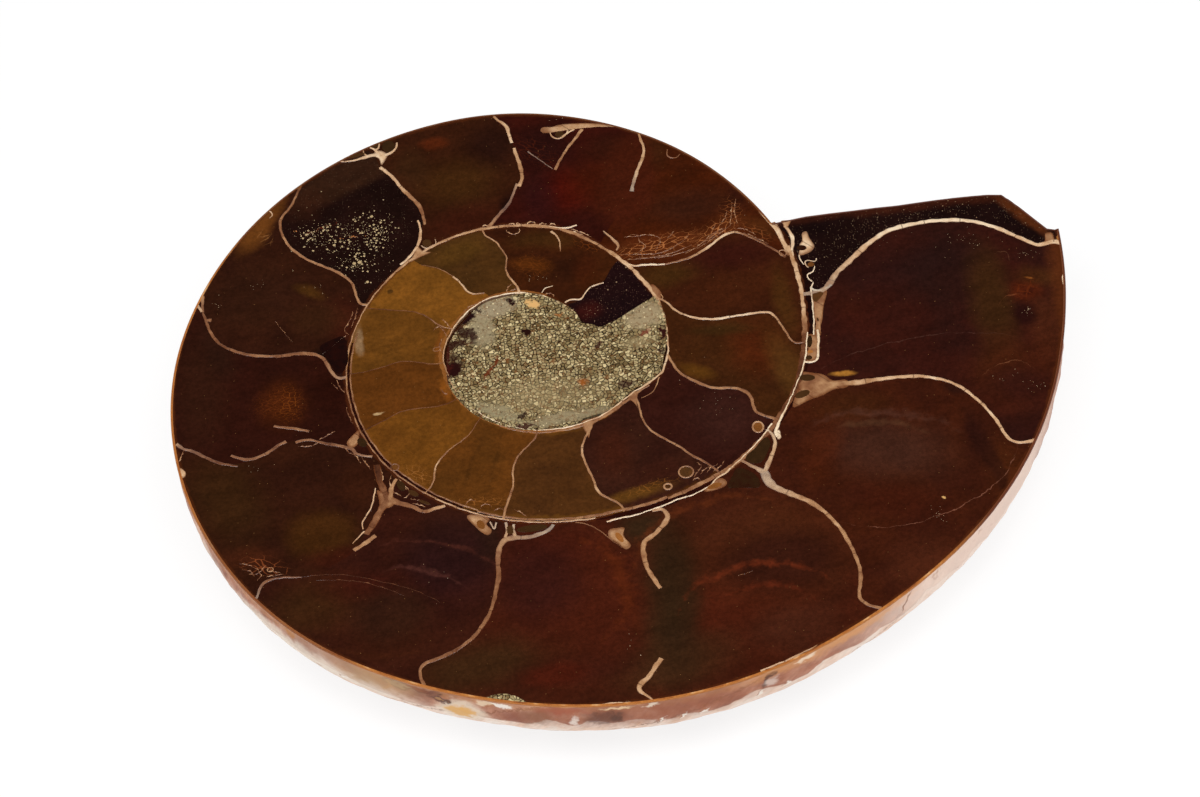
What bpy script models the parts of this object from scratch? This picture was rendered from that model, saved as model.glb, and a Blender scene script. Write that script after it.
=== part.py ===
"""Half of an ammonite fossil, sawn through its coil and polished.

The shell is a log spiral that widens counter-clockwise, seen from above. The sawn
face is level and looks up, and the half lies on the worn crest of its natural side,
where the whorls step down into the umbilicus. The last whorl ends in an old break.
Metres, +Z up, origin below the middle of the outline, on the resting plane.
"""
import math

import bmesh
import bpy
import numpy as np

# The spiral, in plan, about the coil axis.
VENTER_RADIUS = 0.0645        # coil axis to the shell's outer edge, straight along +X
GROWTH = 0.1124               # natural log of the widening, per radian
TURN = 360.0                  # degrees
STEPS_PER_TURN = 100          # rows of the loft in one whorl
INNER_TURNS = 1.7             # whorls inside the last one that show in the umbilicus

# The last whorl's edge wanders from the true spiral: (degrees, share of the radius).
EDGE_SWELLS = (
    (-360.0, 0.000), (-338.0, 0.004), (-320.0, -0.010), (-290.0, 0.000),
    (-266.0, 0.012), (-227.0, -0.012), (-200.0, -0.025), (-165.0, -0.020),
    (-127.0, 0.000), (-105.0, -0.014), (-75.0, -0.005), (-50.0, -0.022),
    (-25.0, -0.013), (0.0, -0.018), (9.0, -0.009),
)
SWELL_BLEND = 8.0             # degrees over which one swell runs into the next

# The broken end, from the outer edge inwards: (share of the radius, degrees).
BREAK_LINE = (
    (1.000, 9.4), (0.980, 9.6), (0.953, 12.6), (0.921, 16.4), (0.820, 18.5),
    (0.728, 20.4), (0.639, 23.0), (0.502, 28.2),
)
BREAK_ROWS = 8                # rows that bend towards the broken end
SEAM_LEAN = 2.4               # degrees from its inner end on to the seam line

# One whorl's section, as shares of its radius and of its half thickness.
HALF_THICKNESS = 0.0133       # saw cut to the crest, at the last whorl's end
THICKENING = 1.9              # how soon a young whorl reaches its full thickness
CREST = 0.42                  # radius share of the crest, where the umbilicus begins
SEAM = 0.446                  # radius share where the next whorl's wall stands on this one
EDGE_WALL = 0.042             # upright band below the saw cut, as a share of the radius
SHOULDER = 0.20               # share of the flank taken by the round outer edge
SHOULDER_DEPTH = 0.67         # share of the thickness reached on that edge
WORN_DEPTH = 0.0126           # saw cut to the worn crest that the half rests on

# Low, sickle-shaped ribs on the flank.
RIBS_PER_TURN = 25
RIB_HEIGHT = 0.0004
RIB_SWEEP = 9.0               # degrees that a rib runs forward to the outer edge

# Columns and loops of the loft.
SHOULDER_COLUMNS = 5
FLANK_COLUMNS = 5             # shoulder to the inner end of the broken line
LEDGE_COLUMNS = 2             # on to the crest
WALL_COLUMNS = 6              # crest down to the seam
HUB_ROWS = 30                 # rows over which the umbilical wall rises from nothing
FACE_RINGS = (0.68, 0.36)     # loops on the sawn face, as shares of its outline


def material(name, colour, roughness, metallic=0.0):
    """A plain Principled material."""
    made = bpy.data.materials.new(name)
    made.use_nodes = True
    shader = made.node_tree.nodes["Principled BSDF"]
    shader.inputs["Base Color"].default_value = (*colour, 1.0)
    shader.inputs["Roughness"].default_value = roughness
    shader.inputs["Metallic"].default_value = metallic
    made.diffuse_color = (*colour, 1.0)
    return made


def swell(degrees):
    """How far the edge stands off the true spiral at a polar angle, as a share."""
    angles, shares = np.transpose(EDGE_SWELLS)
    offsets = np.linspace(-SWELL_BLEND, SWELL_BLEND, 9)
    near = [np.interp(degrees + offset, angles, shares) for offset in offsets]
    return np.mean(near, axis=0)


def venter(degrees):
    """Radius of the spiral's outer edge at a polar angle."""
    return VENTER_RADIUS * np.exp(GROWTH * np.radians(degrees)) * (1.0 + swell(degrees))


def half_thickness(radius):
    """Depth of a whorl's crest below the saw cut: young whorls thicken fast."""
    grown = np.tanh(THICKENING * radius / VENTER_RADIUS) / math.tanh(THICKENING)
    return HALF_THICKNESS * grown


def flank_depth(degrees, share):
    """Depth of the flank: upright edge, round shoulder, gentle rise to the crest."""
    radius = venter(degrees)
    thickness = half_thickness(radius)
    upright = EDGE_WALL * radius
    inward = np.clip((1.0 - share) / (1.0 - CREST), 0.0, 1.0)
    on_edge = np.clip(1.0 - inward / SHOULDER, 0.0, 1.0)
    shoulder = (SHOULDER_DEPTH * thickness - upright) * np.sqrt(1.0 - on_edge ** 2)
    rise = (1.0 - SHOULDER_DEPTH) * thickness * (1.0 - (1.0 - inward) ** 2)
    return upright + shoulder + rise


def rib_height(degrees, share):
    """Height of the ribs: none at the saw cut, full on the outer flank."""
    outward = (share - CREST) / (1.0 - CREST)
    sweep = RIB_SWEEP * outward ** 2
    wave = 0.5 + 0.5 * np.cos(RIBS_PER_TURN * np.radians(degrees - sweep))
    reach = np.clip((1.0 - outward) * 8.0, 0.0, 1.0) * np.clip(outward * 3.0, 0.0, 1.0)
    return RIB_HEIGHT * reach * wave ** 1.5


def smooth_step(value):
    """Eases from 0 to 1."""
    held = np.clip(value, 0.0, 1.0)
    return held * held * (3.0 - 2.0 * held)


def place(degrees, radius, depth):
    """Points at polar angles, radii and depths below the saw cut."""
    angle = np.radians(degrees)
    height = WORN_DEPTH - np.minimum(depth, WORN_DEPTH)
    return np.stack([radius * np.cos(angle), radius * np.sin(angle), height], axis=-1)


def flank_shares():
    """Radius shares of the flank's columns, from the saw cut's edge to the seam line."""
    arc = np.radians(np.linspace(0.0, 90.0, SHOULDER_COLUMNS + 1))
    shoulder = 1.0 - (1.0 - CREST) * SHOULDER * (1.0 - np.cos(arc))
    flank = np.linspace(shoulder[-1], BREAK_LINE[-1][0], FLANK_COLUMNS + 1)[1:]
    return np.concatenate([[1.0], shoulder, flank, [SEAM]])


def seam_angles():
    """Polar angle of every row, on the seam line; row 0 starts the open whorl."""
    ends_at = BREAK_LINE[-1][1] + SEAM_LEAN
    rows = np.arange(-round(INNER_TURNS * STEPS_PER_TURN), STEPS_PER_TURN + 1)
    return rows, ends_at + (rows - STEPS_PER_TURN) * TURN / STEPS_PER_TURN


def flank_points(rows, seams):
    """The last whorl's flank: each row starts on the open edge and ends on the seam line.

    The rows lean more and more, so that the last one lies along the broken end.
    """
    shares = flank_shares()
    outward = (shares - SEAM) / (1.0 - SEAM)
    first_lean = seams[-1] - BREAK_LINE[-1][1]
    last_lean = seams[-1] - BREAK_LINE[0][1]
    table = np.array(sorted(BREAK_LINE + ((SEAM, seams[-1]),)))
    bend = seams[-1] - np.interp(shares, table[:, 0], table[:, 1]) - last_lean * outward
    along = (rows / STEPS_PER_TURN)[:, None]
    near_end = smooth_step(1.0 - (STEPS_PER_TURN - rows) / BREAK_ROWS)[:, None]
    lean = first_lean + (last_lean - first_lean) * along
    degrees = seams[:, None] - lean * outward - near_end * bend
    share = np.broadcast_to(shares, degrees.shape)
    depth = flank_depth(degrees, share) + rib_height(degrees, share)
    depth[:, 0] = 0.0
    return place(degrees, venter(degrees) * share, depth)


def wall_points(seams):
    """From the seam line over the crest and down the umbilical wall, for every whorl."""
    degrees = seams[:, None]
    radius = venter(degrees)
    ledge = np.linspace(SEAM, CREST, LEDGE_COLUMNS + 1)
    ledge_share = np.broadcast_to(ledge, (len(seams), len(ledge)))
    ledge_depth = flank_depth(degrees, ledge_share) + rib_height(degrees, ledge_share)
    foot_radius = venter(degrees - TURN) * SEAM
    grown = smooth_step(np.arange(len(seams)) / HUB_ROWS)[:, None]
    crest_depth = half_thickness(radius)
    foot_depth = crest_depth + (flank_depth(degrees - TURN, SEAM) - crest_depth) * grown
    arc = np.radians(np.linspace(0.0, 90.0, WALL_COLUMNS + 1)[1:])
    wall_radius = foot_radius + (radius * CREST - foot_radius) * (1.0 - np.sin(arc))
    wall_depth = foot_depth + (crest_depth - foot_depth) * np.cos(arc)
    all_radius = np.concatenate([radius * ledge_share, wall_radius], axis=1)
    all_depth = np.concatenate([ledge_depth, wall_depth], axis=1)
    return place(np.broadcast_to(degrees, all_radius.shape), all_radius, all_depth)


def add_verts(body, points):
    """A grid of points as a grid of mesh vertices."""
    return [[body.verts.new(point) for point in row] for row in points]


def add_strip(body, rows):
    """Faces between neighbouring rows of vertices, both ways wound alike."""
    for here, there in zip(rows, rows[1:]):
        for column in range(len(here) - 1):
            corners = (here[column], here[column + 1], there[column + 1], there[column])
            body.faces.new(dict.fromkeys(corners))


def zip_chains(body, upper, lower):
    """Triangles between two chains of vertices that share their first and last one."""
    high = 0
    low = 0
    while high < len(upper) - 1 or low < len(lower) - 1:
        step_high = math.inf
        step_low = math.inf
        if high < len(upper) - 1:
            step_high = (upper[high + 1].co - lower[low].co).length
        if low < len(lower) - 1:
            step_low = (lower[low + 1].co - upper[high].co).length
        if step_high <= step_low:
            corners = (upper[high], upper[high + 1], lower[low])
            high += 1
        else:
            corners = (upper[high], lower[low + 1], lower[low])
            low += 1
        if len(set(corners)) == 3:
            body.faces.new(corners)


def build_half():
    """The whole half as one closed body."""
    body = bmesh.new()
    rows, seams = seam_angles()
    open_rows = rows >= 0
    wall = add_verts(body, wall_points(seams))
    first_open = len(rows) - STEPS_PER_TURN - 1

    # Each wall stands on the whorl inside it, so the foot is that whorl's seam line.
    for index in range(STEPS_PER_TURN, len(wall)):
        body.verts.remove(wall[index][-1])
        wall[index][-1] = wall[index - STEPS_PER_TURN][0]
    add_strip(body, wall)

    flank = add_verts(body, flank_points(rows[open_rows], seams[open_rows]))
    for index, row in enumerate(flank):
        body.verts.remove(row[-1])
        row[-1] = wall[first_open + index][0]
    add_strip(body, flank)

    # The innermost whorl closes over the coil axis.
    hole = [row[-1] for row in wall[:STEPS_PER_TURN]] + wall[0][:-1]
    hub_depth = np.mean([WORN_DEPTH - vert.co.z for vert in hole])
    hub = body.verts.new((0.0, 0.0, WORN_DEPTH - hub_depth))
    for here, there in zip(hole, hole[1:] + hole[:1]):
        body.faces.new((here, there, hub))

    # The broken end: an upright wall from the saw cut down to the last row. Its top
    # edge leaves out the second column, which lies straight under the first one.
    last_row = flank[-1] + wall[-1][1:]
    top_edge = [flank[-1][0]]
    for vert in flank[-1][2:-2]:
        top_edge.append(body.verts.new((vert.co.x, vert.co.y, WORN_DEPTH)))
    zip_chains(body, top_edge + flank[0], last_row)

    # The sawn face: loops that shrink towards the coil axis.
    outline = [row[0] for row in flank] + top_edge[1:]
    loops = [outline]
    for share in FACE_RINGS:
        loops.append([body.verts.new((v.co.x * share, v.co.y * share, WORN_DEPTH)) for v in outline])
    add_strip(body, [list(row) for row in zip(*(loop + loop[:1] for loop in loops))])
    middle = body.verts.new((0.0, 0.0, WORN_DEPTH))
    inner = loops[-1]
    for here, there in zip(inner, inner[1:] + inner[:1]):
        body.faces.new((there, here, middle))

    bmesh.ops.triangulate(body, faces=body.faces[:])
    bmesh.ops.recalc_face_normals(body, faces=body.faces[:])
    xs = [vert.co.x for vert in body.verts]
    ys = [vert.co.y for vert in body.verts]
    middle_of_box = ((min(xs) + max(xs)) / 2.0, (min(ys) + max(ys)) / 2.0, 0.0)
    bmesh.ops.translate(body, verts=body.verts[:], vec=[-value for value in middle_of_box])
    return body


def main():
    for thing in list(bpy.data.objects):
        bpy.data.objects.remove(thing)
    group = bpy.data.collections.new("ammonite_fossil")
    bpy.context.scene.collection.children.link(group)
    body = build_half()
    mesh = bpy.data.meshes.new("ammonite_half")
    body.to_mesh(mesh)
    body.free()
    mesh.shade_smooth()
    mesh.set_sharp_from_angle(angle=math.radians(35.0))
    mesh.materials.append(material("polished_ammonite_stone", (0.055, 0.016, 0.009), 0.14))
    half = bpy.data.objects.new("ammonite_half", mesh)
    group.objects.link(half)


main()
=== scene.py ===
import math

import bmesh
import bpy
import numpy as np
from mathutils import Matrix, Vector


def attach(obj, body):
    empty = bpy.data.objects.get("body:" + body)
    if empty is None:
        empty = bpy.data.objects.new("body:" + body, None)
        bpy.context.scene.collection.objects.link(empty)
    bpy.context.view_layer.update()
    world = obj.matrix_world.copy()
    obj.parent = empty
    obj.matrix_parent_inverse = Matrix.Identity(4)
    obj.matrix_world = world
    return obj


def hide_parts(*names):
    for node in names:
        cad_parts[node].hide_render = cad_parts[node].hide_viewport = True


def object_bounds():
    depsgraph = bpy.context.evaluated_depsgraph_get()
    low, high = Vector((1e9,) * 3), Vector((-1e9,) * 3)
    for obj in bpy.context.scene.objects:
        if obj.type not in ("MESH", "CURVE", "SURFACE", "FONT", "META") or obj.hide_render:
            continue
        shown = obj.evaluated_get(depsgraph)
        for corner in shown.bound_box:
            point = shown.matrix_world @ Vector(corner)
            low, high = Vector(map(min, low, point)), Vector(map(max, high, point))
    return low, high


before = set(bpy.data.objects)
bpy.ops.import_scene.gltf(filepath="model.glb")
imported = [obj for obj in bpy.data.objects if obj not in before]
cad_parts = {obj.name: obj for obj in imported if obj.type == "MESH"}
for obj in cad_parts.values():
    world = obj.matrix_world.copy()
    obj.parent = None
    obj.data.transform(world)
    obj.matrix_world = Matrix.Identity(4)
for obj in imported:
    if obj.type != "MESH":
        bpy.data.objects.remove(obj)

# Half of an ammonite, sawn through the coil and polished, cut face up.
# Everything on the cut face is laid out in millimetres, in plan, about the coil's axis,
# as if one looked straight down on it, with +x to the right and +y away from the camera.

cadLow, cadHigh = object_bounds()

# The coil, as in the CAD model
coil = {
    "venterRadius": 64.5,      # mm, axis to the shell's outer edge, along +x
    "growth": 0.1124,          # natural log of the widening, per radian
    "faceHeight": 12.6,        # mm, floor to the polished face
    "swellBlend": 8.0,         # degrees over which one swell runs into the next
    # Degrees and thousandths of the radius in turn: the outer edge, then the walls further in
    "edgeSwells": (
        -360, 0, -338, 4, -320, -10, -290, 0, -266, 12, -227, -12, -200, -25, -165, -20, -127, 0,
        -105, -14, -75, -5, -50, -22, -25, -13, 0, -18, 9, -9,
    ),
    "wallSwells": (
        -1030, -220, -1015, -216, -994, -140, -978, -76, -963, -27, -952, 4, -927, 24, -911, 42,
        -899, 54, -886, 28, -861, 23, -814, 6, -803, -10, -782, -30, -768, -60, -758, -53, -750, -6,
        -743, 31, -730, 6, -721, -21, -709, -42, -697, -48, -684, -63, -671, -56, -659, -30,
        -650, -4, -641, 22, -620, 43, -606, 58, -590, 55, -565, 43, -543, 39, -503, 40, -481, 27,
        -464, 20, -449, 10, -434, 3, -427, 11, -414, 23, -403, 38, -391, 38, -377, 34, -366, 15,
        -355, 5, -342, 8, -332, 10,
    ),
}


def smoothStep(value):
    # 0 below 0, 1 above 1, and the cubic 3t^2 - 2t^3 between
    held = np.clip(value, 0.0, 1.0)
    return held * held * (3.0 - 2.0 * held)


def edgeRadius(degrees):
    # Log spiral: radius = venterRadius * e^(growth * angle) * (1 + swell), swell averaged near by
    angles, shares = np.reshape(coil["edgeSwells"], (-1, 2)).T
    offsets = np.linspace(-coil["swellBlend"], coil["swellBlend"], 9)
    swell = np.mean([np.interp(degrees + offset, angles, shares / 1000) for offset in offsets], axis=0)
    return coil["venterRadius"] * np.exp(coil["growth"] * np.radians(degrees)) * (1.0 + swell)


def wallRadius(degrees):
    # The same spiral, with the swells that each inner whorl's wall shows on the cut face
    angles, shares = np.reshape(coil["wallSwells"], (-1, 2)).T
    inner = coil["venterRadius"] * np.exp(coil["growth"] * np.radians(degrees))
    inner = inner * (1.0 + np.interp(degrees, angles, shares / 1000))
    return np.where(np.asarray(degrees) < -334.0, inner, edgeRadius(degrees))


def polar(degrees, radius):
    # Plan point at a polar angle and a radius
    angle = np.radians(degrees)
    return np.stack([radius * np.cos(angle), radius * np.sin(angle)], axis=-1)


# The coil's axis in the part's frame: the CAD box starts where the spiral reaches furthest
lastWhorl = polar(np.linspace(-329.4, 9.4, 1000), edgeRadius(np.linspace(-329.4, 9.4, 1000)))
axisX = cadLow.x * 1000.0 - lastWhorl[:, 0].min()
axisY = cadLow.y * 1000.0 - lastWhorl[:, 1].min()
skin = 0.05                    # mm that the visible edge stays inside the CAD box
print("coil axis at", round(axisX, 2), round(axisY, 2), "mm")


def toFrame(plan, height):
    # Plan millimetres and a height in millimetres to metres in the part's frame
    height = np.broadcast_to(height, plan.shape[:-1])
    return np.stack([plan[..., 0] + axisX, plan[..., 1] + axisY, height], axis=-1) * 0.001


def smoothPath(points, step, closed=False):
    # Natural cubic spline through given points, x and y in turn, read again at even steps
    knots = np.reshape(points, (-1, 2)).astype(float)
    pad = 3 if closed else 0
    if closed:
        knots = np.concatenate([knots[-pad:], knots, knots[:pad + 1]])
    spans = np.hypot(*np.diff(knots, axis=0).T)
    along = np.concatenate([[0.0], np.cumsum(spans)])
    count = len(knots)
    system = np.eye(count)
    bends = np.zeros((count, 2))
    middle = np.arange(1, count - 1)
    system[middle, middle - 1] = spans[:-1]
    system[middle, middle] = 2.0 * (spans[:-1] + spans[1:])
    system[middle, middle + 1] = spans[1:]
    slopes = np.diff(knots, axis=0) / spans[:, None]
    bends[1:-1] = 6.0 * np.diff(slopes, axis=0)
    bends = np.linalg.solve(system, bends)
    first, last = along[pad], along[count - 1 - pad]
    fine = np.linspace(first, last, max(8, int((last - first) / step) * 4))
    span = np.clip(np.searchsorted(along, fine, side="right") - 1, 0, count - 2)
    width = spans[span][:, None]
    left = (along[span + 1] - fine)[:, None]
    right = (fine - along[span])[:, None]
    curve = (bends[span] * left ** 3 + bends[span + 1] * right ** 3) / (6.0 * width)
    curve += (knots[span] / width - bends[span] * width / 6.0) * left
    curve += (knots[span + 1] / width - bends[span + 1] * width / 6.0) * right
    return evenSteps(curve, step=step)


def lengthAlong(path):
    # Running length of a path, from 0
    return np.concatenate([[0.0], np.cumsum(np.hypot(*np.diff(path, axis=0).T))])


def evenSteps(path, step=None, count=None):
    # The same path with its points at even distances
    along = lengthAlong(path)
    if count is None:
        count = max(4, int(round(along[-1] / step)) + 1)
    wanted = np.linspace(0.0, along[-1], count)
    return np.stack([np.interp(wanted, along, path[:, 0]), np.interp(wanted, along, path[:, 1])], axis=-1)


def leftOf(path):
    # Unit normals to the left of a path or a stack of paths
    heading = np.gradient(path, axis=-2)
    heading /= np.linalg.norm(heading, axis=-1, keepdims=True) + 1e-12
    return np.stack([-heading[..., 1], heading[..., 0]], axis=-1)


def wander(along, lengths, seed):
    # A wavering line: sines of a few wavelengths with seeded phases, between -1 and 1
    phases = np.random.default_rng(seed).uniform(0.0, 2.0 * math.pi, len(lengths))
    waves = [np.sin(2.0 * math.pi * along / length + phase) for length, phase in zip(lengths, phases)]
    return np.mean(waves, axis=0)


footDepth = 0.4                # mm that bars and pads reach down below their crown


def lastTurnDegrees(plan):
    # Polar angle of plan points, on the coil's last turn
    return (np.degrees(np.arctan2(plan[..., 1], plan[..., 0])) - 28.2) % 360.0 - 331.8


def heldInside(plan):
    # Plan points outside the sawn edge are drawn in to it along their radius
    reach = np.linalg.norm(plan, axis=-1, keepdims=True)
    limit = edgeRadius(lastTurnDegrees(plan))[..., None] - 0.14
    return plan * np.minimum(1.0, limit / np.maximum(reach, 1.0))


def makePiece(name, points, faces, materials, surfaces=None, strip=None, layers=None, crease=40):
    # One mesh object at the origin: closed, turned outwards, with its own UV map and attributes
    mesh = bpy.data.meshes.new(name)
    mesh.from_pydata(points.tolist(), [], faces)
    if surfaces is not None:
        mesh.polygons.foreach_set("material_index", np.asarray(surfaces, np.int32))
    if strip is not None:
        corners = np.empty(len(mesh.loops), np.int32)
        mesh.loops.foreach_get("vertex_index", corners)
        mesh.uv_layers.new(name="strip").data.foreach_set("uv", strip[corners].ravel())
    for label, values in (layers or {}).items():
        layer = mesh.attributes.new(label, "FLOAT", "POINT")
        layer.data.foreach_set("value", np.asarray(values, np.float32).ravel())
    outward = bmesh.new()
    outward.from_mesh(mesh)
    bmesh.ops.recalc_face_normals(outward, faces=outward.faces[:])
    outward.to_mesh(mesh)
    outward.free()
    mesh.shade_smooth()
    mesh.set_sharp_from_angle(angle=math.radians(crease))
    for surface in materials:
        mesh.materials.append(surface)
    piece = bpy.data.objects.new(name, mesh)
    bpy.context.scene.collection.objects.link(piece)
    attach(piece, "root")
    return piece


def quadsOf(ids):
    # Quads between neighbouring rows and columns of a grid of vertex numbers
    corners = (ids[:-1, :-1], ids[1:, :-1], ids[1:, 1:], ids[:-1, 1:])
    return np.stack(corners, axis=-1).reshape(-1, 4).tolist()


def fanOf(ring, pole):
    # Triangles between a closed ring of vertex numbers and the one at its pole
    return np.stack([ring[:-1], ring[1:], np.full(len(ring) - 1, pole)], axis=-1).tolist()


# Section of a bar of shell in the cut face: (across, height), from one foot over the crown
barSection = np.array((
    (-1.0, -1.0), (-1.0, 0.0), (-0.72, 0.72), (0.0, 1.0), (0.72, 0.72), (1.0, 0.0), (1.0, -1.0)))


def barPiece(name, paths, halfWidths, material, tones, roots=0.0, top=12.595, crown=0.035, closed=False):
    # A low crowned bar carried along each path: point = path + left normal * across * half width.
    # One path or a stack of them; half widths, tones and roots are one value, or one a station.
    paths = paths.reshape(-1, *paths.shape[-2:])
    bars, stations = paths.shape[:2]
    halfWidths = np.broadcast_to(halfWidths, (bars, stations))
    across, rise = barSection.T
    sideways = leftOf(paths)
    if closed:
        sideways = leftOf(np.concatenate([paths[:, -1:], paths, paths[:, :1]], axis=1))[:, 1:-1]
    lengths = np.linalg.norm(np.diff(paths, axis=1), axis=-1)
    along = np.concatenate([np.zeros((bars, 1)), np.cumsum(lengths, axis=1)], axis=1)
    plan = heldInside(paths[:, :, None] + sideways[:, :, None] * (across * halfWidths[..., None])[..., None])
    height = np.where(rise < 0.0, top - crown - footDepth, top - crown + crown * rise)
    points = toFrame(plan, height)
    ids = np.arange(bars * stations * len(across)).reshape(bars, stations, len(across))
    ring = np.concatenate([ids, ids[..., :1]], axis=-1)
    if closed:
        ring = np.concatenate([ring, ring[:, :1]], axis=1)
    corners = (ring[:, :-1, :-1], ring[:, 1:, :-1], ring[:, 1:, 1:], ring[:, :-1, 1:])
    faces = np.stack(corners, axis=-1).reshape(-1, 4).tolist()
    if not closed:
        faces += ids[:, 0].tolist() + ids[:, -1].tolist()
    along = along[..., None] + 7.0 * np.arange(bars)[:, None, None]
    strip = np.stack(np.broadcast_arrays(along, across), axis=-1).reshape(-1, 2)
    layers = {"tone": tones, "root": roots}
    for label, values in layers.items():
        layers[label] = np.repeat(np.broadcast_to(values, (bars, stations)), len(across), axis=-1)
    return makePiece(name, points.reshape(-1, 3), faces, [material], strip=strip, layers=layers)


def slabPiece(name, plan, top, material, inward):
    # A thin slab under a grid of plan points: the grid, its copy lowered, and the rim between
    rows, columns = plan.shape[:2]
    upper = toFrame(plan, top).reshape(-1, 3)
    lower = toFrame(plan, top - 0.35).reshape(-1, 3)
    ids = np.arange(rows * columns).reshape(rows, columns)
    rim = np.concatenate([ids[0, :-1], ids[:-1, -1], ids[-1, :0:-1], ids[:0:-1, 0]])
    rim = np.append(rim, rim[0])
    faces = quadsOf(ids) + quadsOf(ids + rows * columns) + quadsOf(np.stack([rim, rim + rows * columns]))
    strip = np.tile(plan.reshape(-1, 2), (2, 1))
    layers = {"inward": np.tile(inward.ravel(), 2)}
    return makePiece(name, np.concatenate([upper, lower]), faces, [material], strip=strip, layers=layers)


def padPiece(name, outline, material, top, crown, tone=0.5, rings=6, centre=None, relief=lambda plan: 0.0):
    # A pad inside a closed outline: ring k is the outline drawn in to the centre by k / rings,
    # and its height falls off towards the outline as the square of the distance
    outline = heldInside(outline)
    middle = outline.mean(axis=0) if centre is None else np.array(centre)
    share = np.linspace(1.0, 0.0, rings + 1)[:-1]
    plan = middle + (outline - middle) * share[:, None, None]
    count = len(outline)
    upper = toFrame(plan, top - crown * share[:, None] ** 2 + relief(plan)).reshape(-1, 3)
    foot = top - crown - footDepth
    lower = toFrame(outline, foot)
    poles = toFrame(np.stack([middle, middle]), (top + float(relief(middle)), foot))
    ids = np.arange(rings * count).reshape(rings, count)
    ids = np.concatenate([ids, ids[:, :1]], axis=1)
    footIds = rings * count + np.append(np.arange(count), 0)
    topPole = (rings + 1) * count
    faces = quadsOf(ids) + quadsOf(np.stack([ids[0], footIds]))
    faces += fanOf(ids[-1], topPole) + fanOf(footIds, topPole + 1)
    points = np.concatenate([upper, lower, poles])
    edge = np.concatenate([np.repeat(1.0 - share, count), np.zeros(count), [1.0, 1.0]])
    flat = np.concatenate([plan.reshape(-1, 2), outline, middle[None], middle[None]])
    strip = np.stack([flat.sum(axis=1), 1.0 - edge], axis=-1)
    layers = {"tone": np.full(len(points), tone), "root": np.zeros(len(points)), "inward": edge}
    return makePiece(name, points, faces, [material], strip=strip, layers=layers)


def linear(code):
    # sRGB hex to linear colour: ((c + 0.055) / 1.055) ^ 2.4 above the toe, c / 12.92 below it
    parts = [int(code[at:at + 2], 16) / 255.0 for at in (0, 2, 4)]
    return tuple(((c + 0.055) / 1.055) ** 2.4 if c > 0.04045 else c / 12.92 for c in parts) + (1.0,)


def addNode(tree, kind, sockets, out=0, **settings):
    # One node with its settings, and its sockets, by name or in order, set to a value or linked
    made = tree.nodes.new("ShaderNode" + kind)
    for label, value in settings.items():
        setattr(made, label, value)
    for label, value in sockets.items() if isinstance(sockets, dict) else enumerate(sockets):
        if isinstance(value, bpy.types.NodeSocket):
            tree.links.new(value, made.inputs[label])
        else:
            made.inputs[label].default_value = value
    return made.outputs[out]


def newStone(name, roughness, ior=1.66):
    # A Principled surface; IOR 1.66 is calcite's
    made = bpy.data.materials.new(name)
    made.use_nodes = True
    shader = made.node_tree.nodes["Principled BSDF"]
    shader.inputs["Roughness"].default_value = roughness
    shader.inputs["IOR"].default_value = ior
    return made, made.node_tree, shader


def dressed(tree, shader, colour, height, strength, depth):
    # Gives the shader its colour, and a bump whose depth is in metres
    tree.links.new(colour, shader.inputs["Base Color"])
    bump = addNode(tree, "Bump", {"Height": height, "Strength": strength, "Distance": depth})
    tree.links.new(bump, shader.inputs["Normal"])


def coilPlan(tree):
    # Object coordinates turned to millimetres about the coil's axis
    sockets = {"Vector": addNode(tree, "TexCoord", {}, "Object"), "Scale": (1000.0,) * 3}
    return addNode(tree, "Mapping", {**sockets, "Location": (-axisX, -axisY, 0.0)})


def bentPlaces(tree, vector, scale, detail, roughness, *amounts):
    # A place pushed about by coloured noise, once for each amount in mm
    sockets = {"Vector": vector, "Scale": scale, "Detail": detail, "Roughness": roughness}
    noise = addNode(tree, "TexNoise", sockets, "Color")
    push = addNode(tree, "VectorMath", (noise, (0.5,) * 3), operation="SUBTRACT")
    pushes = [(push, (amount,) * 3, vector) for amount in amounts]
    return [addNode(tree, "VectorMath", pushed, operation="MULTIPLY_ADD") for pushed in pushes]


def stopsOn(colour, stops):
    # Gives the ramp behind a colour its (place, hex) stops, and hands the colour on
    elements = colour.node.color_ramp.elements
    while len(elements) < len(stops):
        elements.new(0.5)
    for element, (place, code) in zip(elements, stops):
        element.position = place
        element.color = linear(code)
    return colour


def cloud(tree, vector, scale, detail=3.0, roughness=0.55, stretch=(1.0, 1.0, 1.0), turn=0.0):
    # Cloudy noise with one cloud about every 1 / scale millimetres, drawn out along one way
    sockets = {"Vector": vector, "Rotation": (0.0, 0.0, math.radians(turn)), "Scale": stretch}
    turned = addNode(tree, "Mapping", sockets, vector_type="TEXTURE")
    sockets = {"Vector": turned, "Scale": scale, "Detail": detail, "Roughness": roughness}
    return addNode(tree, "TexNoise", sockets, "Fac")


def layOver(tree, colour, tint, share, low=0.0, high=1.0, strength=1.0):
    # A tint laid over a colour: none where share is low, easing to full strength where it is high
    sockets = {"Value": share, "From Min": low, "From Max": high, "To Max": strength}
    held = addNode(tree, "MapRange", sockets, interpolation_type="SMOOTHSTEP")
    tint = linear(tint) if isinstance(tint, str) else tint
    return addNode(tree, "Mix", {0: held, 6: colour, 7: tint}, 2, data_type="RGBA")


def shadeBy(tree, colour, share, low, high, dark, light):
    # A colour multiplied by dark where share is low, easing to light where it is high
    sockets = {"Value": share, "From Min": low, "From Max": high, "To Min": dark, "To Max": light}
    held = addNode(tree, "MapRange", sockets, interpolation_type="SMOOTHSTEP")
    return addNode(tree, "VectorMath", {0: colour, 3: held}, operation="SCALE")


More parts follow.
